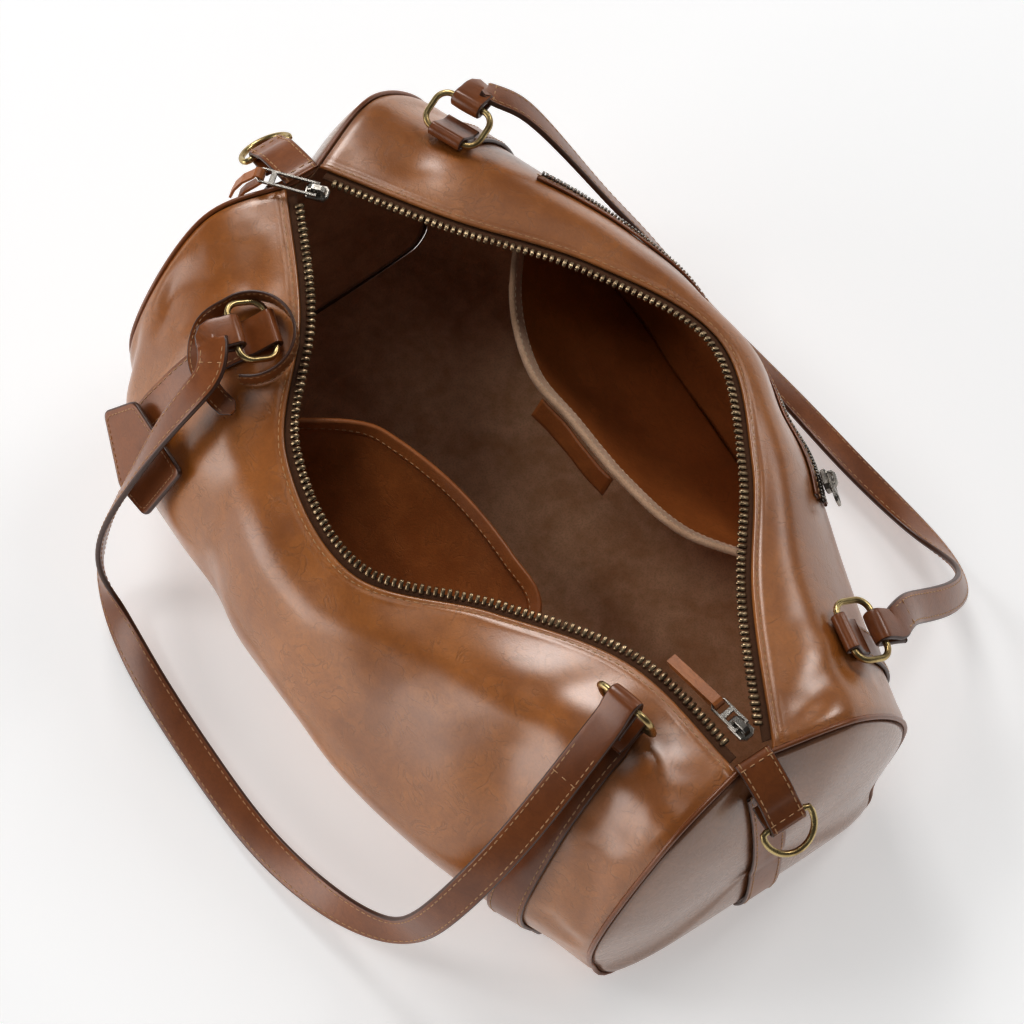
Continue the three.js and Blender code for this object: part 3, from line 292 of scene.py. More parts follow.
# Glossy cognac leather: pull-up tone, pebble grain, creases with painted shade darkening them, and dark paint where
# edge is 1
def leatherMaterial(name, dark, light, grain=1.0, crease=1.0, rough=(0.24, 0.4), edge=False, coat=0.85):
    made, tree, shader, at = newMaterial(name)
    broad = at.noise(0.07, 3.0)
    mid = at.noise(0.011, 4.0, 0.6)
    fine = at.noise(0.0016, 2.0)
    pores = at.cells(0.0009)
    lines = at.noise(0.014, 5.0, 1.6)
    creaseAndShade = 1.0 - (lines - 0.5).sum("ABSOLUTE", lines - 0.5).between(0.0, 0.035)
    tone = (broad * 0.9 + mid * 0.5 - 0.2).between(0.18, 0.86)
    shade = tone.blend(dark, light)
    shade = (fine.between(0.35, 0.75) * 0.16).blend(shade, dimmed(dark, 0.55))
    # painted shade: the base colour is darkened along the crease lines
    shade = (creaseAndShade * 0.22 * mid.between(0.42, 0.6)).blend(shade, dimmed(dark, 0.5))
    roughness = mid * (rough[1] - rough[0]) + rough[0] + creaseAndShade * 0.05
    if edge:
        mark = at.node("ShaderNodeAttribute", {}, out=2, attribute_name="edge")
        worn = mark.between(0.55, 0.9)
        shade = worn.blend(shade, edgePaint)
        roughness = roughness + worn * 0.12
    tree.links.new(shade.socket, shader.inputs["Base Color"])
    tree.links.new(roughness.socket, shader.inputs["Roughness"])
    shader.inputs["IOR"].default_value = 1.5
    shader.inputs["Specular IOR Level"].default_value = glossSet["specular"]
    shader.inputs["Coat Weight"].default_value = coat
    shader.inputs["Coat Roughness"].default_value = glossSet["coatRough"]
    shader.inputs["Coat IOR"].default_value = glossSet["coatIor"]
    rise = (pores * 0.6 + fine * 0.55 + mid * 0.9) * grain - creaseAndShade * 1.2 * crease * mid.between(0.42, 0.6)
    bump(tree, shader, rise, glossSet["relief"])
    return made


# Brushed lining: nap in two scales, patches brushed the other way
def liningMaterial(name, dark, light):
    made, tree, shader, at = newMaterial(name)
    nap = at.noise(0.0009, 3.0)
    patch = at.noise(0.03, 3.0, 0.8)
    soft = at.noise(0.006, 3.0)
    shade = (patch * 0.75 + soft * 0.35).between(0.3, 0.8).blend(dark, light)
    shade = (nap.between(0.4, 0.7) * 0.3).blend(shade, dimmed(dark, 0.62))
    tree.links.new(shade.socket, shader.inputs["Base Color"])
    shader.inputs["Roughness"].default_value = 0.92
    shader.inputs["Sheen Weight"].default_value = 0.35
    shader.inputs["Sheen Roughness"].default_value = 0.45
    bump(tree, shader, nap + soft * 1.5 + patch * 2.0, 0.0003)
    return made


# Woven tape: ribs along and across
def tapeMaterial(name, dark, light):
    made, tree, shader, at = newMaterial(name)
    weave = at.node("ShaderNodeTexWave", {"Vector": at, "Scale": 900.0, "Distortion": 1.5, "Detail": 1.0}, out=1)
    lie = at.noise(0.004, 3.0)
    shade = (weave * 0.6 + lie * 0.4).blend(dark, light)
    tree.links.new(shade.socket, shader.inputs["Base Color"])
    shader.inputs["Roughness"].default_value = 0.85
    bump(tree, shader, weave + lie, 0.00015)
    return made


# Plated metal: tarnish in the hollows, fine scratches
def metalMaterial(name, bright, aged, rough):
    made, tree, shader, at = newMaterial(name)
    cloud = at.noise(0.009, 4.0, 0.5)
    scratch = at.noise(0.0007, 2.0, 2.0)
    shade = (cloud.between(0.4, 0.72) * 0.8).blend(bright, aged)
    tree.links.new(shade.socket, shader.inputs["Base Color"])
    tree.links.new((cloud * 0.2 + scratch * 0.12 + rough).socket, shader.inputs["Roughness"])
    shader.inputs["Metallic"].default_value = 1.0
    bump(tree, shader, scratch, 0.00003)
    return made


# Waxed thread: a twist along each stitch
def threadMaterial(name, dark, light):
    made, tree, shader, at = newMaterial(name)
    twist = at.noise(0.0004, 2.0)
    shade = twist.blend(dark, light)
    tree.links.new(shade.socket, shader.inputs["Base Color"])
    shader.inputs["Roughness"].default_value = 0.6
    bump(tree, shader, twist, 0.0001)
    return made


cognac = (colour(0.320, 0.104, 0.017), colour(0.56, 0.208, 0.040))
finish = {
    "leather": leatherMaterial("leatherBody", *cognac),
    "strap": leatherMaterial(
        "leatherStrap", colour(0.190, 0.054, 0.011), colour(0.36, 0.115, 0.026),
        grain=0.6, crease=0.0, edge=True, coat=0.5),
    "panel": leatherMaterial(
        "leatherPanel", colour(0.26, 0.105, 0.040), colour(0.38, 0.165, 0.068),
        grain=0.12, crease=0.0, rough=(0.24, 0.30), coat=1.0),
    "pocket": leatherMaterial(
        "leatherPocket", colour(0.320, 0.100, 0.024), colour(0.54, 0.195, 0.052),
        grain=0.8, crease=0.4, rough=(0.35, 0.5), edge=True, coat=0.3),
    "lining": liningMaterial("liningNap", colour(0.60, 0.330, 0.175), colour(0.86, 0.570, 0.370)),
    "band": liningMaterial("bandWeave", colour(0.56, 0.35, 0.22), colour(0.76, 0.52, 0.36)),
    "tape": tapeMaterial("zipTape", colour(0.085, 0.034, 0.014), colour(0.22, 0.100, 0.048)),
    "brass": metalMaterial("antiqueBrass", colour(0.62, 0.49, 0.25), colour(0.30, 0.20, 0.09), 0.14),
    "teeth": metalMaterial("toothBrass", colour(0.50, 0.38, 0.24), colour(0.20, 0.13, 0.075), 0.2),
    "nickel": metalMaterial("agedNickel", colour(0.46, 0.43, 0.39), colour(0.14, 0.12, 0.10), 0.12),
    "thread": threadMaterial("thread", colour(0.42, 0.22, 0.10), colour(0.72, 0.46, 0.26)),
    "paleThread": threadMaterial("paleThread", colour(0.55, 0.40, 0.27), colour(0.82, 0.68, 0.52)),
}
print("materials made")


def dress(made, body, replaces):
    scene.collection.objects.link(made)
    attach(made, body)
    if replaces:
        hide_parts(*replaces)
    return made


# A smooth mesh as a piece; its faces are turned outwards unless flip says how they lie
def addPiece(name, points, faces, material, body="bag", replaces=(), edge=None, flip=None):
    points = np.asarray(points, float).reshape(-1, 3) - middle
    if flip is None:
        heart = points.mean(axis=0)
        total = 0.0
        for f in faces:
            a, b, c = points[f[0]] - heart, points[f[1]] - heart, points[f[2]] - heart
            total += float(np.dot(a, np.cross(b, c)))
            if len(f) == 4:
                d = points[f[3]] - heart
                total += float(np.dot(a, np.cross(c, d)))
        flip = total < 0
    if flip:
        faces = [tuple(reversed(f)) for f in faces]
    mesh = bpy.data.meshes.new(name)
    mesh.from_pydata(points.tolist(), [], [tuple(map(int, f)) for f in faces])
    mesh.polygons.foreach_set("use_smooth", [True] * len(mesh.polygons))
    if edge is not None:
        mark = mesh.attributes.new("edge", "FLOAT", "POINT")
        mark.data.foreach_set("value", np.asarray(edge, float).reshape(-1))
    mesh.materials.append(finish[material])
    return dress(bpy.data.objects.new(name, mesh), body, replaces)


def gridFaces(rows, columns, closed=False, start=0):
    faces = []
    last = columns if closed else columns - 1
    for i in range(rows - 1):
        for j in range(last):
            a, b = start + i * columns + j, start + i * columns + (j + 1) % columns
            faces.append((a, b, b + columns, a + columns))
    return faces


# Closed rings lofted one after another, with a fan over each end
def lofted(rings, caps=True):
    rows, columns = len(rings), len(rings[0])
    points = np.concatenate(rings)
    faces = gridFaces(rows, columns, True)
    if caps:
        for row, turned in ((0, True), (rows - 1, False)):
            for j in range(columns // 2 - 1):
                a = row * columns
                f = (a + j, a + j + 1, a + columns - 2 - j, a + columns - 1 - j)
                faces.append(tuple(reversed(f)) if not turned else f)
    return points, faces


# Section of a strap with turned edges: across, height and how far it is edge
def strapSection(width, thick, crown=0.0, count=9):
    w, h = width / 2, thick / 2
    r = h * 0.75
    top = [(x, h + crown * (1 - (x / (w - r)) ** 2), 0.0) for x in np.linspace(-(w - r), w - r, count)]
    side = [(w - r + r * math.sin(a), h * math.cos(a), 1.0) for a in np.linspace(0.35, math.pi - 0.35, 4)]
    foot = [(x, -h, 0.0) for x in np.linspace(w - r, -(w - r), count)]
    back = [(-x, -y, 1.0) for x, y, _ in side]
    return np.array(top + side + foot + back)


def ribbon(stops, section, scales=None):
    rings, edges = [], []
    for i, (p, side, face) in enumerate(stops):
        w = 1.0 if scales is None else scales[i]
        rings.append(p + section[:, :1] * w * side + section[:, 1:2] * face)
        edges.append(section[:, 2])
    points, faces = lofted(rings)
    return points, faces, np.concatenate(edges)


# Gives a path its sides and facings, as the CAD does
def sided(points, sides):
    points = np.asarray(points)
    sides = np.asarray(sides)
    ahead = np.empty_like(points)
    ahead[1:-1] = points[2:] - points[:-2]
    ahead[0], ahead[-1] = points[1] - points[0], points[-1] - points[-2]
    ahead = unit(ahead)
    side = unit(sides - ahead * np.sum(sides * ahead, axis=1, keepdims=True))
    return list(zip(points, side, np.cross(ahead, side)))


def refined(points, sides, times):
    count = (len(points) - 1) * times + 1
    t = np.linspace(0, 1, count)
    return spline(points, t), unit(spline(sides, t))


alongSet = {"smallest": 0.9, "largest": 1.06, "seed": 7}


# Geometry Nodes: repeats a small shape along lines that carry a normal
def alongTree():
    tree = bpy.data.node_groups.new("alongLines", "GeometryNodeTree")
    for name, kind in (("Lines", "Geometry"), ("Pitch", "Float"), ("Shape", "Object"), ("Finish", "Material")):
        tree.interface.new_socket(name, in_out="INPUT", socket_type="NodeSocket" + kind)
    tree.interface.new_socket("Repeated", in_out="OUTPUT", socket_type="NodeSocketGeometry")
    made = {k: tree.nodes.new(k) for k in (
        "NodeGroupInput", "NodeGroupOutput", "GeometryNodeMeshToCurve", "GeometryNodeResampleCurve",
        "GeometryNodeInputTangent", "GeometryNodeInputNamedAttribute", "GeometryNodeInstanceOnPoints",
        "GeometryNodeObjectInfo", "GeometryNodeRealizeInstances", "GeometryNodeSetMaterial",
        "FunctionNodeRandomValue")}
    turn = [tree.nodes.new("FunctionNodeAlignRotationToVector") for _ in range(2)]
    curve, sample = made["GeometryNodeMeshToCurve"], made["GeometryNodeResampleCurve"]
    put, info = made["GeometryNodeInstanceOnPoints"], made["GeometryNodeObjectInfo"]
    real, paint, given = made["GeometryNodeRealizeInstances"], made["GeometryNodeSetMaterial"], made["NodeGroupInput"]
    vary = made["FunctionNodeRandomValue"]
    sample.mode = "LENGTH"
    made["GeometryNodeInputNamedAttribute"].data_type = "FLOAT_VECTOR"
    made["GeometryNodeInputNamedAttribute"].inputs["Name"].default_value = "facing"
    turn[0].axis, turn[1].axis, turn[1].pivot_axis = "X", "Z", "X"
    vary.data_type = "FLOAT"
    floats = [s for s in vary.inputs if s.type == "VALUE" and s.enabled]
    floats[0].default_value, floats[1].default_value = alongSet["smallest"], alongSet["largest"]
    vary.inputs["Seed"].default_value = alongSet["seed"]
    info.inputs["As Instance"].default_value = True
    link = tree.links.new
    link(given.outputs["Lines"], curve.inputs[0])
    link(curve.outputs[0], sample.inputs["Curve"])
    link(given.outputs["Pitch"], sample.inputs["Length"])
    link(sample.outputs[0], put.inputs["Points"])
    link(given.outputs["Shape"], info.inputs["Object"])
    link(info.outputs["Geometry"], put.inputs["Instance"])
    link(made["GeometryNodeInputTangent"].outputs[0], turn[0].inputs["Vector"])
    link(turn[0].outputs[0], turn[1].inputs["Rotation"])
    link(made["GeometryNodeInputNamedAttribute"].outputs[0], turn[1].inputs["Vector"])
    link(turn[1].outputs[0], put.inputs["Rotation"])
    link([s for s in vary.outputs if s.type == "VALUE" and s.enabled][0], put.inputs["Scale"])
    link(put.outputs[0], real.inputs[0])
    link(real.outputs[0], paint.inputs["Geometry"])
    link(given.outputs["Finish"], paint.inputs["Material"])
    link(paint.outputs[0], made["NodeGroupOutput"].inputs[0])
    return tree


along = alongTree()


def smallShape(name, rings):
    points, faces = lofted(rings)
    mesh = bpy.data.meshes.new(name)
    mesh.from_pydata(points.tolist(), [], faces)
    mesh.polygons.foreach_set("use_smooth", [True] * len(mesh.polygons))
    made = bpy.data.objects.new(name, mesh)
    scene.collection.objects.link(made)
    return made


def stitchShape(length, radius):
    rings = []
    for x, r, z in ((-0.5, 0.35, -0.9), (-0.4, 0.85, -0.1), (0, 1.0, 0.25), (0.4, 0.85, -0.1), (0.5, 0.35, -0.9)):
        a = np.linspace(0, 2 * math.pi, 6, endpoint=False)
        side, rise = r * radius * np.cos(a), radius * (z * 0.5 + r * 0.8 * np.sin(a))
        ring = np.stack([np.full(6, x * length), side, rise], axis=1)
        rings.append(ring)
    return smallShape("stitchShape", rings)


toothOutline = [
    (-0.5, -0.25), (-0.34, -0.5), (0.34, -0.5), (0.5, -0.25),
    (0.5, 0.25), (0.34, 0.5), (-0.34, 0.5), (-0.5, 0.25),
]


def toothShape(long, wide, high):
    rings = []
    for x, k in ((-0.5, 0.8), (-0.36, 1.0), (0.36, 1.0), (0.5, 0.8)):
        rings.append(np.array([(x * long, y * wide * k, z * high * k) for y, z in toothOutline]))
    return smallShape("toothShape", rings)


# Repeats a shape along lines of points with facings, as one plain mesh
def repeat(name, lines, shape, pitch, material, body="bag", replaces=()):
    points, edges, facings = [], [], []
    for line, facing in lines:
        start = len(points)
        points += [p for p in np.asarray(line) - middle]
        facings += [n for n in np.asarray(facing)]
        edges += [(start + i, start + i + 1) for i in range(len(line) - 1)]
    mesh = bpy.data.meshes.new(name + "Lines")
    mesh.from_pydata(np.array(points).tolist(), edges, [])
    mark = mesh.attributes.new("facing", "FLOAT_VECTOR", "POINT")
    mark.data.foreach_set("vector", np.array(facings).reshape(-1))
    carrier = bpy.data.objects.new(name + "Lines", mesh)
    scene.collection.objects.link(carrier)
    step = carrier.modifiers.new("along", "NODES")
    step.node_group = along
    for item in along.interface.items_tree:
        value = {"Pitch": pitch, "Shape": shape, "Finish": finish[material]}.get(item.name)
        if value is not None:
            step[item.identifier] = value
    bpy.context.view_layer.update()
    seen = carrier.evaluated_get(bpy.context.evaluated_depsgraph_get())
    plain = bpy.data.meshes.new_from_object(seen)
    made = bpy.data.objects.new(name, plain)
    bpy.data.objects.remove(carrier)
    plain.name = name
    if not plain.materials:
        plain.materials.append(finish[material])
    return dress(made, body, replaces)


# The leather barrel: its outer face, edges folded under at the zip, seams rolled in at the ends
bodySet = {
    "rows": 200, "columns": 250, "hem": 0.0135,
    "fold": [  # metres down from the zip, height over the face
        (0.0165, -0.002), (0.0105, -0.002), (0.0071, -0.0019), (0.0064, -0.001),
        (0.007, -0.0002), (0.0082, 0.0002), (0.0096, -0.0005), (0.0112, 0.0002),
    ],
    "rollDeep": 0.0011, "rollAt": 0.0012, "rollWide": 0.0022,
}


def makeBody():
    main = np.linspace(0.012, 0.988, bodySet["rows"])
    shares = np.concatenate([[0.004, 0.0055, 0.008], main, [0.992, 0.9945, 0.9965]])
    front = [down for down, _ in bodySet["fold"]]
    rise = [z for _, z in bodySet["fold"]]
    hem = bodySet["hem"]
    keep = np.array([
        np.concatenate([front, np.linspace(hem, g - hem, bodySet["columns"]), [g - d for d in front[::-1]]]) / g
        for g in girth(shares)])
    depths = np.tile(np.concatenate([rise, np.zeros(bodySet["columns"]), rise[::-1]]), (len(shares), 1))
    ends = np.minimum(shares, 1 - shares)[:, None] * skinLong
    depths = depths - bodySet["rollDeep"] * np.exp(-(((ends - bodySet["rollAt"]) / bodySet["rollWide"]) ** 2))
    points = onLeather(shares, keep, depths)[0]
    faces = gridFaces(len(shares), keep.shape[1])
    return addPiece("bodyLeather", points, faces, "leather", replaces=("body_panel",), flip=False)


makeBody()
print("body made")

# The open zip: tapes and teeth along both edges, and the stitches beside them
zipSet = {
    "tooth": (0.0018, 0.0050, 0.0026), "pitch": 0.0035, "down": 0.0010, "lift": -0.0022,
    "seam": 0.0096, "seamLift": -0.0004,
    "tape": [  # metres down from the edge, height over the face
        (0.0017, -0.0029), (0.0017, -0.0022), (0.0042, -0.0021),
        (0.0067, -0.0022), (0.0125, -0.0024), (0.0125, -0.0031),
    ],
}
stitchPitch = 0.0042
stitch = stitchShape(0.0031, 0.00036)
tooth = toothShape(*zipSet["tooth"])
edgeShares = np.linspace(0.014, 0.986, 260)
toothShares = np.linspace(0.03, 0.966, 240)


def zipLine(back, down, lift, shares=edgeShares):
    g = girth(shares)
    keep = ((g - down) if back else np.full(len(shares), down)) / g
    p, n, _, _ = onLeather(shares, keep[:, None], lift)
    return p[:, 0], n[:, 0]


seams = [zipLine(back, zipSet["seam"], zipSet["seamLift"]) for back in (False, True)]
repeat("zipEdgeStitches", seams, stitch, stitchPitch, "thread")
for side, back in (("Front", False), ("Back", True)):
    points = np.array([zipLine(back, down, z)[0] for down, z in zipSet["tape"]]).transpose(1, 0, 2)
    faces = gridFaces(len(edgeShares), len(zipSet["tape"]), True)
    addPiece("zipTape" + side, points, faces, "tape", replaces=("zip_tape_" + side.lower(),))
    line = zipLine(back, zipSet["down"], zipSet["lift"], toothShares)
    node = "zip_teeth_" + side.lower()
    repeat("zipTeeth" + side, [line], tooth, zipSet["pitch"], "teeth", replaces=(node,))
print("zip made")


# The lining: a thin wall under the leather with soft slack folds
liningSet = {"rows": 130, "columns": 150, "hem": 0.0125, "face": 0.0036, "back": 0.0028}


def slackOver(points):
    return 0.0011 * (1 + wave(points, 0.05, 21.0)) + 0.0005 * (1 + wave(points, 0.016, 33.0))


def makeLining():
    rows, columns, hem = liningSet["rows"], liningSet["columns"], liningSet["hem"]
    shares = np.linspace(0.0075, 0.9925, rows)
    keep = np.array([np.linspace(hem, q - hem, columns) / q for q in girth(shares)])
    p, n, _, _ = onShell(shares, keep)
    wide = np.broadcast_to(shares[:, None], keep.shape)
    slack = slackOver(p)
    slack *= smooth(keep * skinRound, 0.012, 0.05) * smooth((1 - keep) * skinRound, 0.012, 0.05)
    slack *= smooth(p[..., 2], 0.0, 0.02) * 0.8 + 0.2
    bend = relief(wide, keep, p)
    inside = p + n * (bend - liningSet["face"] - slack)[..., None]
    under = p + n * (bend - liningSet["back"])[..., None]
    faces = [tuple(reversed(f)) for f in gridFaces(rows, columns)] + gridFaces(rows, columns, start=keep.size)
    points = np.concatenate([inside.reshape(-1, 3), under.reshape(-1, 3)])
    return addPiece("liningBody", points, faces, "lining", replaces=("lining_body",), flip=False)


makeLining()


# End panels, with their corded seams and inner linings: insets from the rim and offsets outwards
endSet = {
    "bulge": 0.012, "rim": 0.001, "inset": 0.0012, "offset": 0.001,
    "innerInset": 0.0021, "innerOffset": -0.0008,
    "liningInset": 0.0032, "liningOffsets": (-0.0021, -0.003), "cord": 0.0014,
}


def rimOf(share, inset, count=150):
    keep = (np.arange(count) + 0.5)[None, :] / count
    p, n, _, _ = onShell([share], keep)
    return p[0] - n[0] * inset


def discPoints(share, inset, offset, rings=26):
    sign = -1 if share < 0.5 else 1
    rim = rimOf(share, endSet["rim"])
    heart = rim.mean(axis=0)
    reach = np.linalg.norm(rim - heart, axis=1)
    out = []
    for r in range(rings + 1):
        keep = ((reach - inset) / reach) * (r / rings) ** 0.8
        p = heart + (rim - heart) * keep[:, None]
        p[:, 0] += sign * (offset + endSet["bulge"] * (1 - keep**4))
        out.append(p)
    return np.array(out)


def wallOver(outer, inner):
    rows, columns = outer.shape[:2]
    points = np.concatenate([outer.reshape(-1, 3), inner.reshape(-1, 3)])
    start = rows * columns
    faces = gridFaces(rows, columns, True) + [tuple(reversed(f)) for f in gridFaces(rows, columns, True, start)]
    rim = (rows - 1) * columns
    for j in range(columns):
        k = (j + 1) % columns
        faces.append((rim + j, rim + k, start + rim + k, start + rim + j))
    return points, faces


def tube(line, radius, sides, ups):
    line = np.asarray(line)
    ahead = unit(np.roll(line, -1, axis=0) - np.roll(line, 1, axis=0))
    ups = unit(ups - ahead * np.sum(ups * ahead, axis=1, keepdims=True))
    side = np.cross(ahead, ups)
    a = np.linspace(0, 2 * math.pi, sides, endpoint=False)
    turn, lean = np.cos(a)[None, :, None], np.sin(a)[None, :, None]
    rings = line[:, None] + radius * (ups[:, None] * turn + side[:, None] * lean)
    faces = []
    for i in range(len(line)):
        for j in range(sides):
            below = ((i + 1) % len(line)) * sides
            k = (j + 1) % sides
            faces.append((i * sides + j, i * sides + k, below + k, below + j))
    return rings.reshape(-1, 3), faces


for side, share in (("Left", 0.0), ("Right", 1.0)):
    sign = -1 if share == 0 else 1
    outer = discPoints(share, endSet["inset"], endSet["offset"])
    puff = 0.0007 * wave(outer, 0.06, 41.0) + 0.0003 * wave(outer, 0.02, 47.0)
    outer[..., 0] += sign * puff * np.linspace(1, 0, len(outer))[:, None]
    outer[-1, :, 0] -= sign * 0.0012
    points, faces = wallOver(outer, discPoints(share, endSet["innerInset"], endSet["innerOffset"]))
    node = "end_panel_" + side.lower()
    addPiece("endPanel" + side, points, faces, "panel", replaces=(node,))
    points, faces = wallOver(*[discPoints(share, endSet["liningInset"], z) for z in endSet["liningOffsets"]])
    addPiece("endLining" + side, points, faces, "lining", replaces=("lining_" + side.lower(),))
    rim = rimOf(share, endSet["rim"])
    points, faces = tube(rim, endSet["cord"], 8, rim - rim.mean(axis=0))
    node = "piping_" + side.lower()
    addPiece("piping" + side, points, faces, "strap", replaces=(node,), edge=np.zeros(len(points)))
print("lining and ends made")

# Oval rings: share of the length, metres down from the zip, lift in degrees
ringRows = {
    "front_left": (0.175, 0.021, 27), "front_right": (0.88, 0.030, 80),
    "back_left": (0.1, 0.052, 38), "back_right": (0.905, 0.054, 22),
}
ringSet = {
    "halfLong": 0.0166, "halfShort": 0.0104, "corner": 0.007, "wire": 0.0017, "sides": 14,
    "bar": 0.0055, "loop": 0.003,
}


# Where each ring lies: its strap's bar, its free bar, and the way it turns
def ringPlace(name):
    share, down, lift = ringRows[name]
    back = name.startswith("back")
    q = girth([share])[0]
    keep = (q - down if back else down) / q
    p, n, s, t = (v[0, 0] for v in onShell([share], np.array([[keep]])))
    away = -t if back else t
    side = unit(s - away * np.dot(s, away))
    lift = math.radians(lift)
    run = away * math.cos(lift) + n * math.sin(lift)
    bar = p + n * ringSet["bar"]
    return {
        "share": share, "keep": keep, "side": side, "away": away, "n": n, "bar": bar,
        "free": bar + run * 2 * ringSet["halfShort"], "run": run,
        "up": n * math.cos(lift) - away * math.sin(lift),
    }


def ringLine(spot):
    corner = ringSet["corner"]
    x, y = ringSet["halfLong"] - corner, ringSet["halfShort"] - corner
    heart, line = (spot["bar"] + spot["free"]) / 2, []
    for k, (cx, cy) in enumerate(((x, y), (-x, y), (-x, -y), (x, -y))):
        for a in np.linspace(k * math.pi / 2, (k + 1) * math.pi / 2, 9):
            line.append(heart + spot["side"] * (cx + corner * math.cos(a)) + spot["run"] * (cy + corner * math.sin(a)))
    return line


ringFrames = {name: ringPlace(name) for name in ringRows}
for name, spot in ringFrames.items():
    line = ringLine(spot)
    points, faces = tube(line, ringSet["wire"], ringSet["sides"], np.tile(spot["up"], (len(line), 1)))
    addPiece("ring_" + name + "_fine", points, faces, "brass", replaces=("ring_" + name,))
print("rings made")


# A strap's turn round a bar, after a tail given along the run and up from it
def loopAround(bar, run, up, radius, tail):
    points = [bar + run * a + up * b for a, b in tail]
    for i in range(7):
        a = 2 * math.pi * (0.25 + i / 12)
        points.append(bar + run * radius * math.cos(a) + up * radius * math.sin(a))
    return points


# Straps that run under the bag, from a front ring to a back ring
strapSet = {
    "width": 0.020, "thick": 0.002, "inset": 0.0024, "start": 0.014, "lift": 0.0014, "ground": 0.0012,
    "stitchLift": 0.00245, "stitchGround": 0.006, "stops": 150,
    "tail": [(0.017, -0.0019), (0.012, -0.0019), (0.006, 0.0004)],
}
spanLong = 2.1 * halfLength
strapCut = strapSection(strapSet["width"], strapSet["thick"])


def strapEnd(spot, sign):
    points = loopAround(spot["bar"], spot["away"], spot["n"], ringSet["loop"], strapSet["tail"])
    q = girth([spot["share"]])[0]
    for far in (0.004, 0.009):
        keep = spot["keep"] + sign * far / q
        p, _, _, _ = onLeather(np.array([spot["share"]]), np.array([[keep]]), 0.0052 - far * 0.28)
        points.append(p[0, 0])
    return sided(*refined(points, [spot["side"]] * len(points), 4))


def cutRings(stops, cut):
    return [p + cut[:, :1] * along + cut[:, 1:2] * face for p, along, face in stops]


def strapSpan(front, back):
    down = strapSet["start"]
    k0, k1 = front["keep"] + down / girth([front["share"]])[0], back["keep"] - down / girth([back["share"]])[0]
    return lambda k: (front["share"] + (back["share"] - front["share"]) * k, k0 + (k1 - k0) * k)


def strapBand(span):
    band = []
    for k in np.linspace(0, 1, strapSet["stops"]):
        share, keep = span(k)
        shares = share + strapCut[:, 0] / spanLong
        base, n, _, _ = onLeather(shares, np.full((len(shares), 1), keep), 0.0)
        p = base[:, 0] + n[:, 0] * (strapSet["lift"] + strapCut[:, 1])[:, None]
        p[:, 2] = np.maximum(p[:, 2], strapSet["ground"] + strapCut[:, 1])
        band.append(p)
    return band


# Stitch lines along both edges of a strap, left out where it lies on the ground
def strapStitchLines(span):
    lines = []
    for sign in (-1, 1):
        off = sign * (strapSet["width"] / 2 - strapSet["inset"])
        path, facing = [], []
        for k in np.linspace(0.0, 1.0, 200):
            share, keep = span(k)
            base, n, _, _ = onLeather(np.array([share + off / spanLong]), np.array([[keep]]), strapSet["stitchLift"])
            if base[0, 0, 2] >= strapSet["stitchGround"]:
                path.append(base[0, 0])
                facing.append(n[0, 0])
        gaps = [i for i in range(1, len(path)) if np.linalg.norm(path[i] - path[i - 1]) > 0.02]
        for lo, hi in zip([0] + gaps, gaps + [len(path)]):
            lines.append((path[lo:hi], facing[lo:hi]))
    return lines


for side in ("left", "right"):
    front, back = ringFrames["front_" + side], ringFrames["back_" + side]
    span = strapSpan(front, back)
    head, band, tail = cutRings(strapEnd(front, 1), strapCut), strapBand(span), strapEnd(back, -1)[::-1]
    mirror = strapCut.copy()
    if np.dot(tail[0][1] * (strapCut[0, 0] - strapCut[8, 0]), band[-1][0] - band[-1][8]) < 0:
        mirror[:, 0] *= -1
    rings = head + band + cutRings(tail, mirror)
    points, faces = lofted(rings)
    edge = np.tile(strapCut[:, 2], len(rings))
    node = "body_strap_" + side
    addPiece("bodyStrap_" + side, points, faces, "strap", replaces=(node,), edge=edge)
    repeat("bodyStrapStitches_" + side, strapStitchLines(span), stitch, stitchPitch, "thread")
print("body straps made")

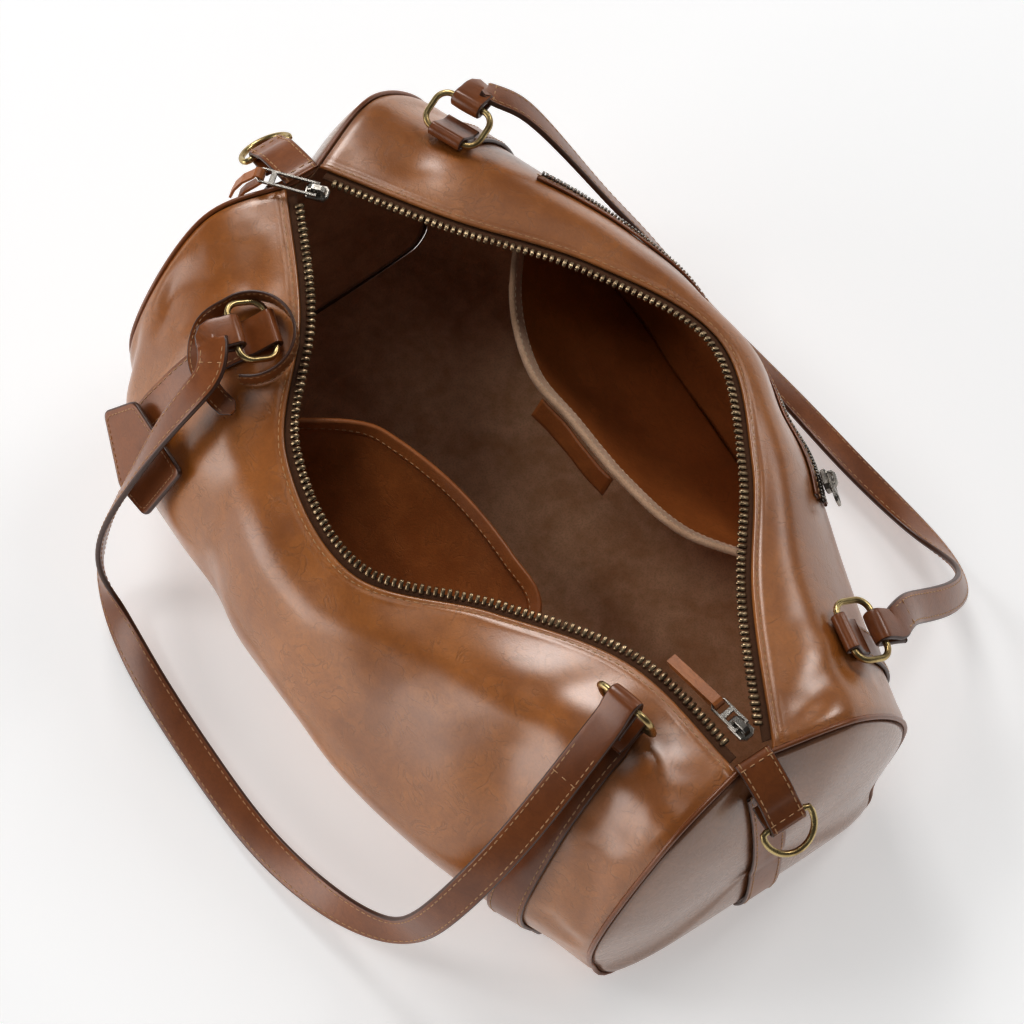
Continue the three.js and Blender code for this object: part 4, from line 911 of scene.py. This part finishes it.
# Handles: shares of half length, half width and height, and the way the strap looks
handleRows = {
    "front": [
        (-0.622, -0.67, 1.03, -0.1, -0.5, 0.85),
        (-0.61, -0.785, 0.97, -0.2, -0.7, 0.7),
        (-0.62, -0.905, 0.835, -0.4, -0.8, 0.45),
        (-0.622, -1.035, 0.67, -0.75, -0.6, 0.2),
        (-0.643, -1.148, 0.438, -0.9, -0.3, 0.3),
        (-0.64, -1.207, 0.22, -0.75, -0.3, 0.6),
        (-0.56, -1.24, 0.08, -0.3, -0.45, 0.85),
        (-0.34, -1.275, 0.045, 0.05, -0.4, 0.9),
        (-0.07, -1.285, 0.04, 0.1, -0.35, 0.93),
        (0.21, -1.28, 0.055, 0.2, -0.35, 0.9),
        (0.44, -1.225, 0.1, 0.4, -0.4, 0.8),
        (0.6, -1.155, 0.18, 0.65, -0.5, 0.6),
        (0.69, -1.08, 0.27, 0.75, -0.6, 0.45),
        (0.765, -1.01, 0.53, 0.6, -0.6, 0.6),
        (0.785, -0.79, 0.76, 0.4, -0.6, 0.7),
        (0.765, -0.56, 0.93, 0.3, -0.6, 0.75),
    ],
    "back": [
        (-0.92, 0.745, 0.965, -0.1, 0.3, 1),
        (-0.875, 0.81, 0.925, 0, 0.5, 0.85),
        (-0.805, 0.865, 0.84, 0.1, 0.7, 0.7),
        (-0.725, 0.925, 0.715, 0, 0.8, 0.6),
        (-0.635, 0.99, 0.576, 0, 0.8, 0.55),
        (-0.54, 1.06, 0.45, -0.1, 0.85, 0.5),
        (-0.39, 1.13, 0.28, -0.1, 0.8, 0.6),
        (-0.22, 1.19, 0.17, 0, 0.6, 0.8),
        (0.005, 1.25, 0.09, 0, 0.4, 0.9),
        (0.205, 1.28, 0.06, 0, 0.3, 0.95),
        (0.435, 1.31, 0.07, 0.1, 0.3, 0.9),
        (0.6, 1.31, 0.13, 0.5, 0.4, 0.75),
        (0.71, 1.24, 0.25, 0.8, 0.5, 0.4),
        (0.77, 1.09, 0.43, 0.8, 0.5, 0.45),
        (0.79, 0.92, 0.61, 0.6, 0.4, 0.6),
        (0.815, 0.82, 0.75, 0.3, 0.3, 0.85),
    ],
}
handleSet = {
    "width": 0.0175, "thick": 0.003, "crown": 0.0003, "loop": 0.0035, "inset": 0.0026,
    "tail": [(0.017, 0.0018), (0.011, 0.002), (0.005, 0.0029)],
    "under": [(0.005, -0.0029), (0.011, -0.002)],
    "stitchLift": 0.00158, "crossLift": 0.0017, "crossHalf": 0.0055, "softer": (16, 2),
}
shellScale = np.array([halfLength, halfWidth, height])


# The turn of a handle round the free bar of its ring, towards a point
def handleEnd(spot, target):
    run = target - spot["free"]
    run = unit(run - spot["side"] * np.dot(run, spot["side"]))
    under = unit(np.cross(run, spot["side"]))
    if np.dot(under, spot["n"]) > 0:
        under = -under
    points = loopAround(spot["free"], run, under, handleSet["loop"], handleSet["tail"])
    points += [spot["free"] + run * a + under * b for a, b in handleSet["under"]]
    return points, unit(np.cross(run, under))


def handleStops(edgeName):
    rows = np.array(handleRows[edgeName])
    mid = rows[:, :3] * shellScale
    facing = unit(rows[:, 3:])
    head, headSide = handleEnd(ringFrames[edgeName + "_left"], mid[0])
    foot, footSide = handleEnd(ringFrames[edgeName + "_right"], mid[-1])
    foot = foot[::-1]
    curve = np.array(head[-2:] + list(mid) + foot[:2])
    spans = len(mid) + 3
    steps = 3 * spans
    points, sides = list(head), [headSide] * len(head)
    for i in range(4, steps - 3):
        at = (i / steps) * spans - 2
        k = int(np.clip(math.floor(at), 0, len(mid) - 2))
        face = facing[k] + (facing[k + 1] - facing[k]) * np.clip(at - k, 0, 1)
        ahead = unit(spline(curve, min(1, i / steps + 1e-3))[0] - spline(curve, i / steps - 1e-3)[0])
        points.append(spline(curve, i / steps)[0])
        sides.append(unit(np.cross(face, ahead)))
    points += foot
    sides += [-footSide] * len(foot)
    for i in range(len(head), len(sides)):
        if np.dot(sides[i], sides[i - 1]) < 0:
            sides[i] = -sides[i]
    points, sides = np.array(points), np.array(sides)
    lo, hi = len(head), len(sides) - len(foot)
    for _ in range(handleSet["softer"][0]):
        sides[lo:hi] = unit(sides[lo - 1 : hi - 1] + 2 * sides[lo:hi] + sides[lo + 1 : hi + 1])
    for _ in range(handleSet["softer"][1]):
        points[lo:hi] = (points[lo - 1 : hi - 1] + 2 * points[lo:hi] + points[lo + 1 : hi + 1]) / 4
    return sided(*refined(points, sides, 4)), len(head) * 4


# A stitch line off to one side of a strap's stops, on its face or its back
def edgeStitches(stops, off, lift, way):
    return [p + side * off + face * way * lift for p, side, face in stops], [face * way for _, _, face in stops]


# Six stitches across a strap at one of its stops
def crossStitches(stop, half, lift, way):
    p, side, face = stop
    return [p + side * w + face * way * lift for w in np.linspace(-half, half, 6)], [face * way] * 6


for name in ("front", "back"):
    stops, loopEnd = handleStops(name)
    section = strapSection(handleSet["width"], handleSet["thick"], handleSet["crown"])
    points, faces, edge = ribbon(stops, section)
    node = "handle_" + name
    addPiece(node + "_fine", points, faces, "strap", replaces=(node,), edge=edge)
    off = handleSet["width"] / 2 - handleSet["inset"]
    run = stops[loopEnd + 2 : -loopEnd - 2]
    lines = [edgeStitches(run, a * off, handleSet["stitchLift"], b) for a in (-1, 1) for b in (-1, 1)]
    for at in (loopEnd + 6, len(stops) - loopEnd - 7):
        lines += [crossStitches(stops[at], handleSet["crossHalf"], handleSet["crossLift"], b) for b in (-1, 1)]
    repeat("handleStitches_" + name, lines, stitch, stitchPitch, "thread")
print("handles made")


# End tabs, D-rings and end straps
tabSet = {"width": 0.020, "thick": 0.002, "drop": 0.017, "out": 0.010, "loop": 0.003, "seam": 0.0078}
dRingSet = {"radius": 0.014, "leg": 0.003, "tilt": 50, "wire": 0.0017, "sides": 14}
endStrapSet = {
    "width": 0.020, "thick": 0.0016, "lift": 0.0019, "top": 0.014, "foot": 0.005, "stops": 60,
    "seam": 0.0077, "seamLift": 0.0028,
}
yAxis = np.array([0.0, 1.0, 0.0])


# The tab's line in the bag's middle plane: under the bar, round it and up over the seam
def tabLine(bar, top, sign):
    loop, rise = tabSet["loop"], top[2] + 0.0017
    spots = [(bar[0] - sign * 0.013, bar[2] + 0.0012), (bar[0] - sign * 0.006, bar[2] - 0.0022)]
    for i in range(8):
        a = 2 * math.pi * (-0.3 + 0.42 * i / 7)
        spots.append((bar[0] + sign * loop * math.cos(a), bar[2] + loop * math.sin(a)))
    spots += [(bar[0] - sign * 0.004, bar[2] + 0.007), (bar[0] - sign * 0.010, bar[2] + 0.0125)]
    spots += [(top[0] + sign * 0.003, rise + 0.001), (top[0] - sign * 0.003, rise + 0.0016)]
    return [np.array([x, 0, z]) for x, z in spots]


def dRingLine(bar, drop):
    radius, leg = dRingSet["radius"], dRingSet["leg"]
    line = [bar + yAxis * w * (radius - 0.0025) for w in np.linspace(-1, 1, 9)]
    line.append(bar + yAxis * (radius - 0.0006) + drop * 0.0006)
    for a in np.linspace(0, math.pi, 33):
        line.append(bar + yAxis * radius * math.cos(a) + drop * (leg + radius * math.sin(a)))
    line.append(bar - yAxis * (radius - 0.0006) + drop * 0.0006)
    return line


# How far out the end panel stands at a place, from its six nearest points
def panelReach(panel, y, z):
    far = (panel[:, 1] - y) ** 2 + (panel[:, 2] - z) ** 2
    near = np.argsort(far)[:6]
    weight = 1 / (far[near] + 1e-8)
    return float(np.sum(panel[near, 0] * weight) / np.sum(weight))


for side, share in (("left", 0.0), ("right", 1.0)):
    sign = -1 if share == 0 else 1
    rim = rimOf(share, endSet["rim"], 34)
    top, heart, low = (rim[0] + rim[-1]) / 2, rim.mean(axis=0), (rim[16] + rim[17]) / 2
    bar = np.array([heart[0] + sign * (endSet["bulge"] + tabSet["out"]), 0, top[2] - tabSet["drop"]])
    line = tabLine(bar, top, sign)
    stops = sided(*refined(line, [yAxis] * len(line), 5))
    points, faces, edge = ribbon(stops, strapSection(tabSet["width"], tabSet["thick"], 0.0002))
    node = "end_tab_" + side
    addPiece("endTab_" + side + "_fine", points, faces, "strap", replaces=(node,), edge=edge)
    upper = stops[9 * 5 : -2]
    out = 1 if upper[len(upper) // 2][2][2] > 0 else -1
    lines = [edgeStitches(upper, a * tabSet["seam"], 0.00115, out) for a in (-1, 1)]
    lines += [crossStitches(upper[at], tabSet["seam"], 0.00125, out) for at in (2, len(upper) - 3)]
    repeat("endTabStitches_" + side, lines, stitch, 0.0040, "thread")

    tilt = math.radians(dRingSet["tilt"])
    drop = np.array([sign * math.sin(tilt), 0, -math.cos(tilt)])
    line = dRingLine(bar, drop)
    ups = np.tile(np.cross(yAxis, drop), (len(line), 1))
    points, faces = tube(line, dRingSet["wire"], dRingSet["sides"], ups)
    node = "d_ring_" + side
    addPiece("dRing_" + side, points, faces, "brass", body=node, replaces=(node,))

    panel = discPoints(share, endSet["inset"], endSet["offset"], 40).reshape(-1, 3)
    section = strapSection(endStrapSet["width"], endStrapSet["thick"], 0.0, 7)
    heights = np.linspace(top[2] - endStrapSet["top"], low[2] + endStrapSet["foot"], endStrapSet["stops"])
    rings = [np.array([
        (panelReach(panel, heart[1] + a, z) + sign * (endStrapSet["lift"] + b), heart[1] + a, z)
        for a, b, _ in section]) for z in heights]
    points, faces = lofted(rings)
    edge, node = np.tile(section[:, 2], len(heights)), "end_strap_" + side
    addPiece("endStrap_" + side + "_fine", points, faces, "strap", replaces=(node,), edge=edge)
    lines = []
    for y in (heart[1] - endStrapSet["seam"], heart[1] + endStrapSet["seam"]):
        path = [np.array([panelReach(panel, y, z) + sign * endStrapSet["seamLift"], y, z]) for z in heights]
        lines.append((path, [np.array([sign, 0.0, 0.25])] * len(heights)))
    repeat("endStrapStitches_" + side, lines, stitch, stitchPitch, "thread")
print("ends dressed")

# Pieces that keep their CAD shape, with softened edges: finish and bevel width
keptSet = {
    "zip_slider_left": ("nickel", 0.00035), "zip_slider_right": ("nickel", 0.00035),
    "pull_plate_left": ("nickel", 0.00035), "pull_plate_right": ("nickel", 0.00035),
    "back_zip_slider": ("nickel", 0.00035), "back_zip_pull": ("nickel", 0.00035),
    "pull_thong_left": ("pocket", 0.0004), "pull_thong_right": ("pocket", 0.0004),
}
for name, (material, width) in keptSet.items():
    node = frame["nodes"][name]
    node.data.materials.clear()
    node.data.materials.append(finish[material])
    soft = node.modifiers.new("softEdges", "BEVEL")
    soft.width, soft.segments, soft.limit_method, soft.angle_limit = width, 2, "ANGLE", 0.6

# The tag's strap, on edge round the front left ring
hoop = ringFrames["front_left"]
hoopSet = {
    "radius": 23.2, "away": 0.011, "side": 0.0025, "wide": 0.011, "thick": 0.0016,
    "seam": 0.0037, "seamLift": 0.00085,
    "lead": [  # millimetres along, away and up; how far it stands on edge; share of the width
        (34, 20, 2.4, 0, 0.25), (30, 22, 2.6, 0, 1), (22, 26, 3.2, 0, 1),
        (10, 29, 4.2, 0, 1), (-3, 28, 4.4, 0, 1), (-16, 20, 6, 0.45, 1),
    ],
}
smallStitch = stitchShape(0.0022, 0.0003)
smallPitch = 0.0031


def makeTagStrap():
    base = hoop["bar"] - hoop["n"] * ringSet["bar"] + hoop["away"] * hoopSet["away"] + hoop["side"] * hoopSet["side"]
    rows = list(hoopSet["lead"])
    for i in range(13):
        a = 2 * math.pi * (0.46 + 0.62 * i / 12)
        rows.append((hoopSet["radius"] * math.cos(a), hoopSet["radius"] * math.sin(a), 8.5, 1, 1))
    line = [base + hoop["side"] * a / 1000 + hoop["away"] * b / 1000 + hoop["n"] * c / 1000 for a, b, c, _, _ in rows]
    sides = []
    for i, row in enumerate(rows):
        ahead = unit(line[min(i + 1, len(line) - 1)] - line[max(0, i - 1)])
        lying = unit(np.cross(hoop["n"], ahead))
        sides.append(unit(lying * (1 - row[3]) + hoop["n"] * row[3]))
    line, sides = refined(line, sides, 5)
    wide = np.interp(np.linspace(0, 1, len(line)), np.linspace(0, 1, len(rows)), [r[4] for r in rows])
    stops = sided(line, sides)
    points, faces, edge = ribbon(stops, strapSection(hoopSet["wide"], hoopSet["thick"]), wide)
    addPiece("tagStrap", points, faces, "strap", replaces=("tag_strap",), edge=edge)
    lines = []
    for a in (-1, 1):
        for b in (-1, 1):
            sewn = list(zip(stops[6:], wide[6:]))
            path = [p + s * a * hoopSet["seam"] * w + f * b * hoopSet["seamLift"] for (p, s, f), w in sewn]
            lines.append((path, [f * b for _, _, f in stops[6:]]))
    repeat("tagStrapStitches", lines, smallStitch, smallPitch, "thread")


makeTagStrap()

# The tag: a slab of two leathers with rounded edges
tagSet = {
    "corners": [
        (-0.785, -0.865, 0.72), (-0.53, -0.905, 0.755), (-0.56, -1.03, 0.53),
        (-0.685, -1.05, 0.505), (-0.86, -0.965, 0.6),
    ],
    "round": 0.004, "half": 0.0015, "seamShare": 0.88, "seamLift": 0.0016,
    "profile": [  # share of the outline, height in half thicknesses, how far it is edge
        (0.0, -1, 0), (0.5, -1, 0), (0.93, -1, 0.2), (0.985, -0.85, 1), (1, -0.4, 1),
        (1, 0.4, 1), (0.985, 0.85, 1), (0.93, 1, 0.2), (0.5, 1, 0), (0.0, 1, 0),
    ],
}


def makeTag():
    tag = np.array(tagSet["corners"]) * shellScale
    up = unit(np.cross(tag[2] - tag[0], tag[4] - tag[1]))
    if up[2] < 0:
        up = -up
    tag -= ((tag - tag.mean(axis=0)) @ up)[:, None] * up
    outline = []
    for i in range(5):
        a, b, c = tag[i - 1], tag[i], tag[(i + 1) % 5]
        p0, p2 = b + unit(a - b) * tagSet["round"], b + unit(c - b) * tagSet["round"]
        p3 = c + unit(b - c) * tagSet["round"]
        outline += [p0 * (1 - t) ** 2 + b * 2 * t * (1 - t) + p2 * t**2 for t in np.linspace(0, 1, 6)]
        outline += [p2 + (p3 - p2) * t for t in np.linspace(0, 1, 9)[1:-1]]
    outline = np.array(outline)
    heart = outline.mean(axis=0)
    out = outline - heart
    rings = [heart + out * max(keep, 1e-4) + up * z * tagSet["half"] for keep, z, _ in tagSet["profile"]]
    points, faces = lofted(rings, caps=False)
    edge = np.repeat([e for _, _, e in tagSet["profile"]], len(outline))
    addPiece("luggageTag", points, faces, "strap", replaces=("luggage_tag",), edge=edge)
    lines = []
    for way in (1, -1):
        row = heart + out * tagSet["seamShare"] + up * way * tagSet["seamLift"]
        lines.append((np.concatenate([row, row[:1]]), [up * way] * (len(outline) + 1)))
    repeat("tagStitches", lines, smallStitch, smallPitch, "thread")


makeTag()
print("tag made")

# Pockets inside: a slack sheet from its bound top edge to its foot on the lining
pocketRows = {
    "front": [
        (-0.53, -0.56, 0.78), (-0.4, -0.3, 0.755), (-0.3, -0.215, 0.74), (-0.105, -0.145, 0.715),
        (0.1, -0.125, 0.68), (0.25, -0.15, 0.63), (0.36, -0.45, 0.6),
    ],
    "back": [
        (-0.66, 0.6, 0.8), (-0.475, 0.4, 0.75), (-0.295, 0.313, 0.7), (-0.13, 0.333, 0.667),
        (0.08, 0.347, 0.655), (0.295, 0.393, 0.68), (0.47, 0.52, 0.72),
    ],
}
pocketSet = {
    "front": {
        "foot": 6, "sag": 0.010, "sheet": "pocket", "edge": "pocket", "slot": "leather",
        "nodes": ("front_pocket", "pocket_binding"), "bandWide": 0.0078, "bandDown": 0.0028, "bandOut": 0.0006,
        "worn": 0.3, "seams": (0.0024,), "thread": "thread",
    },
    "back": {
        "foot": 20, "sag": -0.010, "sheet": "lining", "edge": "band", "slot": "lining",
        "nodes": ("back_pocket", "pocket_band"), "bandWide": 0.0102, "bandDown": 0.0040, "bandOut": 0.0009,
        "worn": None, "seams": (-0.0034, 0.0034), "thread": "paleThread",
    },
}
sheetSet = {"thick": 0.0012, "lining": 0.0006, "bandThick": 0.0034, "foot": 0.0051, "low": 0.0032, "pitch": 0.0036}


# Metres round the shell at a column of the lining
def column(k, q):
    return 0.014 + (q - 0.028) * (k - 1) / 24


def thickSheet(grid, thick):
    rows, columns = grid.shape[:2]
    n = unit(np.cross(np.gradient(grid, axis=0), np.gradient(grid, axis=1)))
    points = np.concatenate([grid.reshape(-1, 3), (grid + n * thick).reshape(-1, 3)])
    start = rows * columns
    faces = gridFaces(rows, columns) + [tuple(reversed(f)) for f in gridFaces(rows, columns, start=start)]
    edges = [(j, j + 1) for j in range(columns - 1)]
    edges += [((i + 1) * columns - 1, (i + 2) * columns - 1) for i in range(rows - 1)]
    edges += [((rows - 1) * columns + j + 1, (rows - 1) * columns + j) for j in range(columns - 1)]
    edges += [((i + 1) * columns, i * columns) for i in range(rows - 1)]
    faces += [(b, a, start + a, start + b) for a, b in edges]
    return points, faces


def pocketGrid(rows, facts):
    a, b = np.linspace(0, 1, 90), np.linspace(0, 1, 44)
    over = spline(np.array(rows) * shellScale, a)
    shares = 0.2 + 0.5 * a
    q = girth(shares)
    foot, n, _, _ = onShell(shares, (column(facts["foot"], q) / q)[:, None])
    foot = foot[:, 0] - n[:, 0] * sheetSet["foot"]
    grid = over[:, None] * (1 - b)[None, :, None] + foot[:, None] * b[None, :, None]
    grid[..., 1] += facts["sag"] * np.sin(math.pi * a)[:, None] * np.sin(math.pi * b)[None, :]
    grid[..., 2] -= sheetSet["low"] * (1 - b)[None, :]
    rumple = 0.0016 * wave(grid, 0.05, 61.0) + 0.0006 * wave(grid, 0.017, 67.0)
    grid[..., 2] += rumple * np.sin(math.pi * b)[None, :]
    return grid


pocketGrids = {name: pocketGrid(rows, pocketSet[name]) for name, rows in pocketRows.items()}
for name, grid in pocketGrids.items():
    facts = pocketSet[name]
    material, slotName, nodes, worn = facts["sheet"], facts["slot"], facts["nodes"], facts["worn"]
    points, faces = thickSheet(grid, sheetSet["thick"])
    plain = np.zeros(len(points)) if worn else None
    addPiece("pocketSheet_" + name, points, faces, material, replaces=nodes[:1], edge=plain)
    n = unit(np.cross(np.gradient(grid, axis=0), np.gradient(grid, axis=1)))
    if name == "back":
        points, faces = thickSheet(grid + n * 0.00125, sheetSet["lining"])
        addPiece("pocketInside", points, faces, "pocket", edge=np.zeros(len(points)))
    down = unit(grid[:, 2] - grid[:, 0])
    line = grid[:, 0] + down * facts["bandDown"] + n[:, 0] * facts["bandOut"]
    points, faces, edge = ribbon(sided(line, down), strapSection(facts["bandWide"], sheetSet["bandThick"], 0.0, 7))
    edge = edge * worn if worn else None
    addPiece("pocketEdge_" + name, points, faces, facts["edge"], replaces=nodes[1:], edge=edge)
    lines = [(line + down * off + n[:, 0] * way * 0.00178, n[:, 0] * way) for off in facts["seams"] for way in (1, -1)]
    repeat("pocketStitches_" + name, lines, smallStitch, sheetSet["pitch"], facts["thread"])

# The leather wall behind the back pocket, its stitch line, and the bare patch under the band
backingSet = {"from": 0.3, "to": 0.75, "top": 20.1, "foot": 24, "depth": 0.0041, "thick": 0.0006, "pitch": 0.0038}
patchSet = {
    "from": 36, "to": 59, "thick": 0.0009,
    "drop": np.array([0, -0.0022, -0.002]), "reach": np.array([0, -0.0060, -0.0110]),
}


def makeBacking():
    shares = np.linspace(backingSet["from"], backingSet["to"], 60)
    q = girth(shares)
    down = np.linspace(0, 1, 30)[None, :]
    first, last = column(backingSet["top"], q)[:, None], column(backingSet["foot"], q)[:, None]
    keep = (first + (last - first) * down) / q[:, None]
    p, n, _, _ = onShell(shares, keep)
    wide = np.broadcast_to(shares[:, None], keep.shape)
    sheet = p + n * (relief(wide, keep, p) - backingSet["depth"] - slackOver(p))[..., None]
    points, faces = thickSheet(sheet, backingSet["thick"])
    edge = np.zeros(len(points))
    addPiece("pocketBacking", points, faces, "pocket", replaces=("pocket_backing",), edge=edge)
    rim = p[:, -1] - n[:, -1] * 0.0062 + np.array([0, 0, 0.002])
    repeat("backingStitches", [(rim, -n[:, -1])], smallStitch, backingSet["pitch"], "paleThread")


def makePatch():
    rim = pocketGrids["back"][patchSet["from"] : patchSet["to"], 0]
    rows = rim[:, None] + patchSet["drop"] + np.linspace(0, 1, 8)[None, :, None] * patchSet["reach"]
    rows[..., 1] += 0.0008 * wave(rows, 0.014, 71.0)
    points, faces = thickSheet(rows, patchSet["thick"])
    edge = np.zeros(len(points))
    addPiece("pocketPatch", points, faces, "pocket", replaces=("pocket_patch",), edge=edge)


makeBacking()
makePatch()
print("pockets made")

# The outside zip pocket on the back: lips of leather, tape and closed teeth
backZip = {
    "from": 0.2, "to": 0.72, "down": 0.066, "stops": 150, "lip": 0.0068, "lipLift": 0.0012, "seamLift": 0.0024,
    "tape": [(-0.005, 0.0006), (-0.005, 0.0014), (0, 0.0016), (0.005, 0.0014), (0.005, 0.0006)],
    "tooth": (0.0013, 0.0042, 0.0018), "pitch": 0.0021, "toothLift": 0.0026,
}
backShares = np.linspace(backZip["from"], backZip["to"], backZip["stops"])


def backLine(off, lift):
    q = girth(backShares)
    p, n, _, t = onLeather(backShares, ((q - backZip["down"] + off) / q)[:, None], lift)
    return p[:, 0], n[:, 0], t[:, 0]


points = np.array([backLine(off, z)[0] for off, z in backZip["tape"]]).transpose(1, 0, 2)
faces = gridFaces(backZip["stops"], len(backZip["tape"]), True)
addPiece("backZipTape", points, faces, "tape", replaces=("back_zip_tape",))
for name, off in (("Low", -backZip["lip"]), ("High", backZip["lip"])):
    p, _, t = backLine(off, backZip["lipLift"])
    points, faces, edge = ribbon(sided(p, t), strapSection(0.0055, 0.0014, 0.0002, 5))
    addPiece("backZipLip" + name, points, faces, "strap", edge=edge * 0.4)
    seam = backLine(off, backZip["seamLift"])[:2]
    repeat("backLipStitches" + name, [seam], smallStitch, 0.0038, "thread")
line = backLine(0, backZip["toothLift"])[:2]
closedTooth = toothShape(*backZip["tooth"])
repeat("backZipTeeth", [line], closedTooth, backZip["pitch"], "nickel", replaces=("back_zip_teeth",))
for spare in [o for o in bpy.data.objects if o.name.startswith(("stitchShape", "toothShape"))]:
    bpy.data.objects.remove(spare)
print("back zip made")

# Floor and light
floorSet = {"size": 12.0, "tone": 0.70, "glow": 0.44, "rough": 0.75}
mesh = bpy.data.meshes.new("floor")
half = floorSet["size"] / 2
mesh.from_pydata([(-half, -half, 0), (half, -half, 0), (half, half, 0), (-half, half, 0)], [], [(0, 1, 2, 3)])
floor = bpy.data.objects.new("floor", mesh)
scene.collection.objects.link(floor)
made, tree, shader, at = newMaterial("paleFloor")
pale = colour(*[floorSet["tone"]] * 3)
shade = at.noise(0.4, 3.0).blend(pale, dimmed(pale, 0.985))
tree.links.new(shade.socket, shader.inputs["Base Color"])
shader.inputs["Roughness"].default_value = floorSet["rough"]
shader.inputs["Specular IOR Level"].default_value = 0.1
shader.inputs["Emission Color"].default_value = colour(1.0, 1.0, 1.0)
shader.inputs["Emission Strength"].default_value = floorSet["glow"]
mesh.materials.append(made)

skySet = {"low": 1.35, "high": 0.10, "turn": 0.18}
world = bpy.data.worlds.new("studio")
world.use_nodes = True
scene.world = world
tree = world.node_tree
sky = Sh(tree, tree.nodes.new("ShaderNodeTexCoord").outputs["Generated"])
high = sky.node("ShaderNodeSeparateXYZ", {0: sky}, out=2)
shade = high.between(0.0, skySet["turn"]).blend(colour(*[skySet["low"]] * 3), colour(*[skySet["high"]] * 3))
tree.links.new(shade.socket, tree.nodes["Background"].inputs["Color"])
tree.nodes["Background"].inputs["Strength"].default_value = 1.0

# Soft boxes: azimuth and elevation in degrees, width and height in metres, radiance, and whether they are reflected
boxes = [
    ("topBox", -128, 76, 1.7, 1.5, 1.2, True),
    ("frontBox", -112, 16, 3.4, 2.3, 2.8, True),
    ("leftBox", 160, 45, 1.35, 2.1, 8.5, True),
    ("backBox", 95, 44, 1.40, 1.60, 6.5, True),
    ("innerBox", -132, 54, 1.2, 1.2, 8.0, False),  # lights the lining
]
boxDistance, boxHeight = 5.0, 0.1
for name, azimuth, elevation, wide, tall, radiance, reflected in boxes:
    a, e = math.radians(azimuth), math.radians(elevation)
    back = np.array([math.cos(a) * math.cos(e), math.sin(a) * math.cos(e), math.sin(e)])
    spot = back * boxDistance + np.array([0, 0, boxHeight])
    right = unit(np.cross([0, 0, 1], back))
    up = np.cross(back, right)
    data = bpy.data.lights.new(name, "AREA")
    data.shape, data.size, data.size_y = "RECTANGLE", wide, tall
    data.energy = radiance * math.pi * wide * tall
    lamp = bpy.data.objects.new(name, data)
    lamp.visible_glossy = reflected
    lamp.matrix_world = Matrix([(right[i], up[i], back[i], spot[i]) for i in range(3)] + [(0, 0, 0, 1)])
    scene.collection.objects.link(lamp)
scene.view_settings.view_transform = "Standard"
scene.view_settings.exposure, scene.view_settings.gamma = 0.09, 0.82
print("stage and light made")
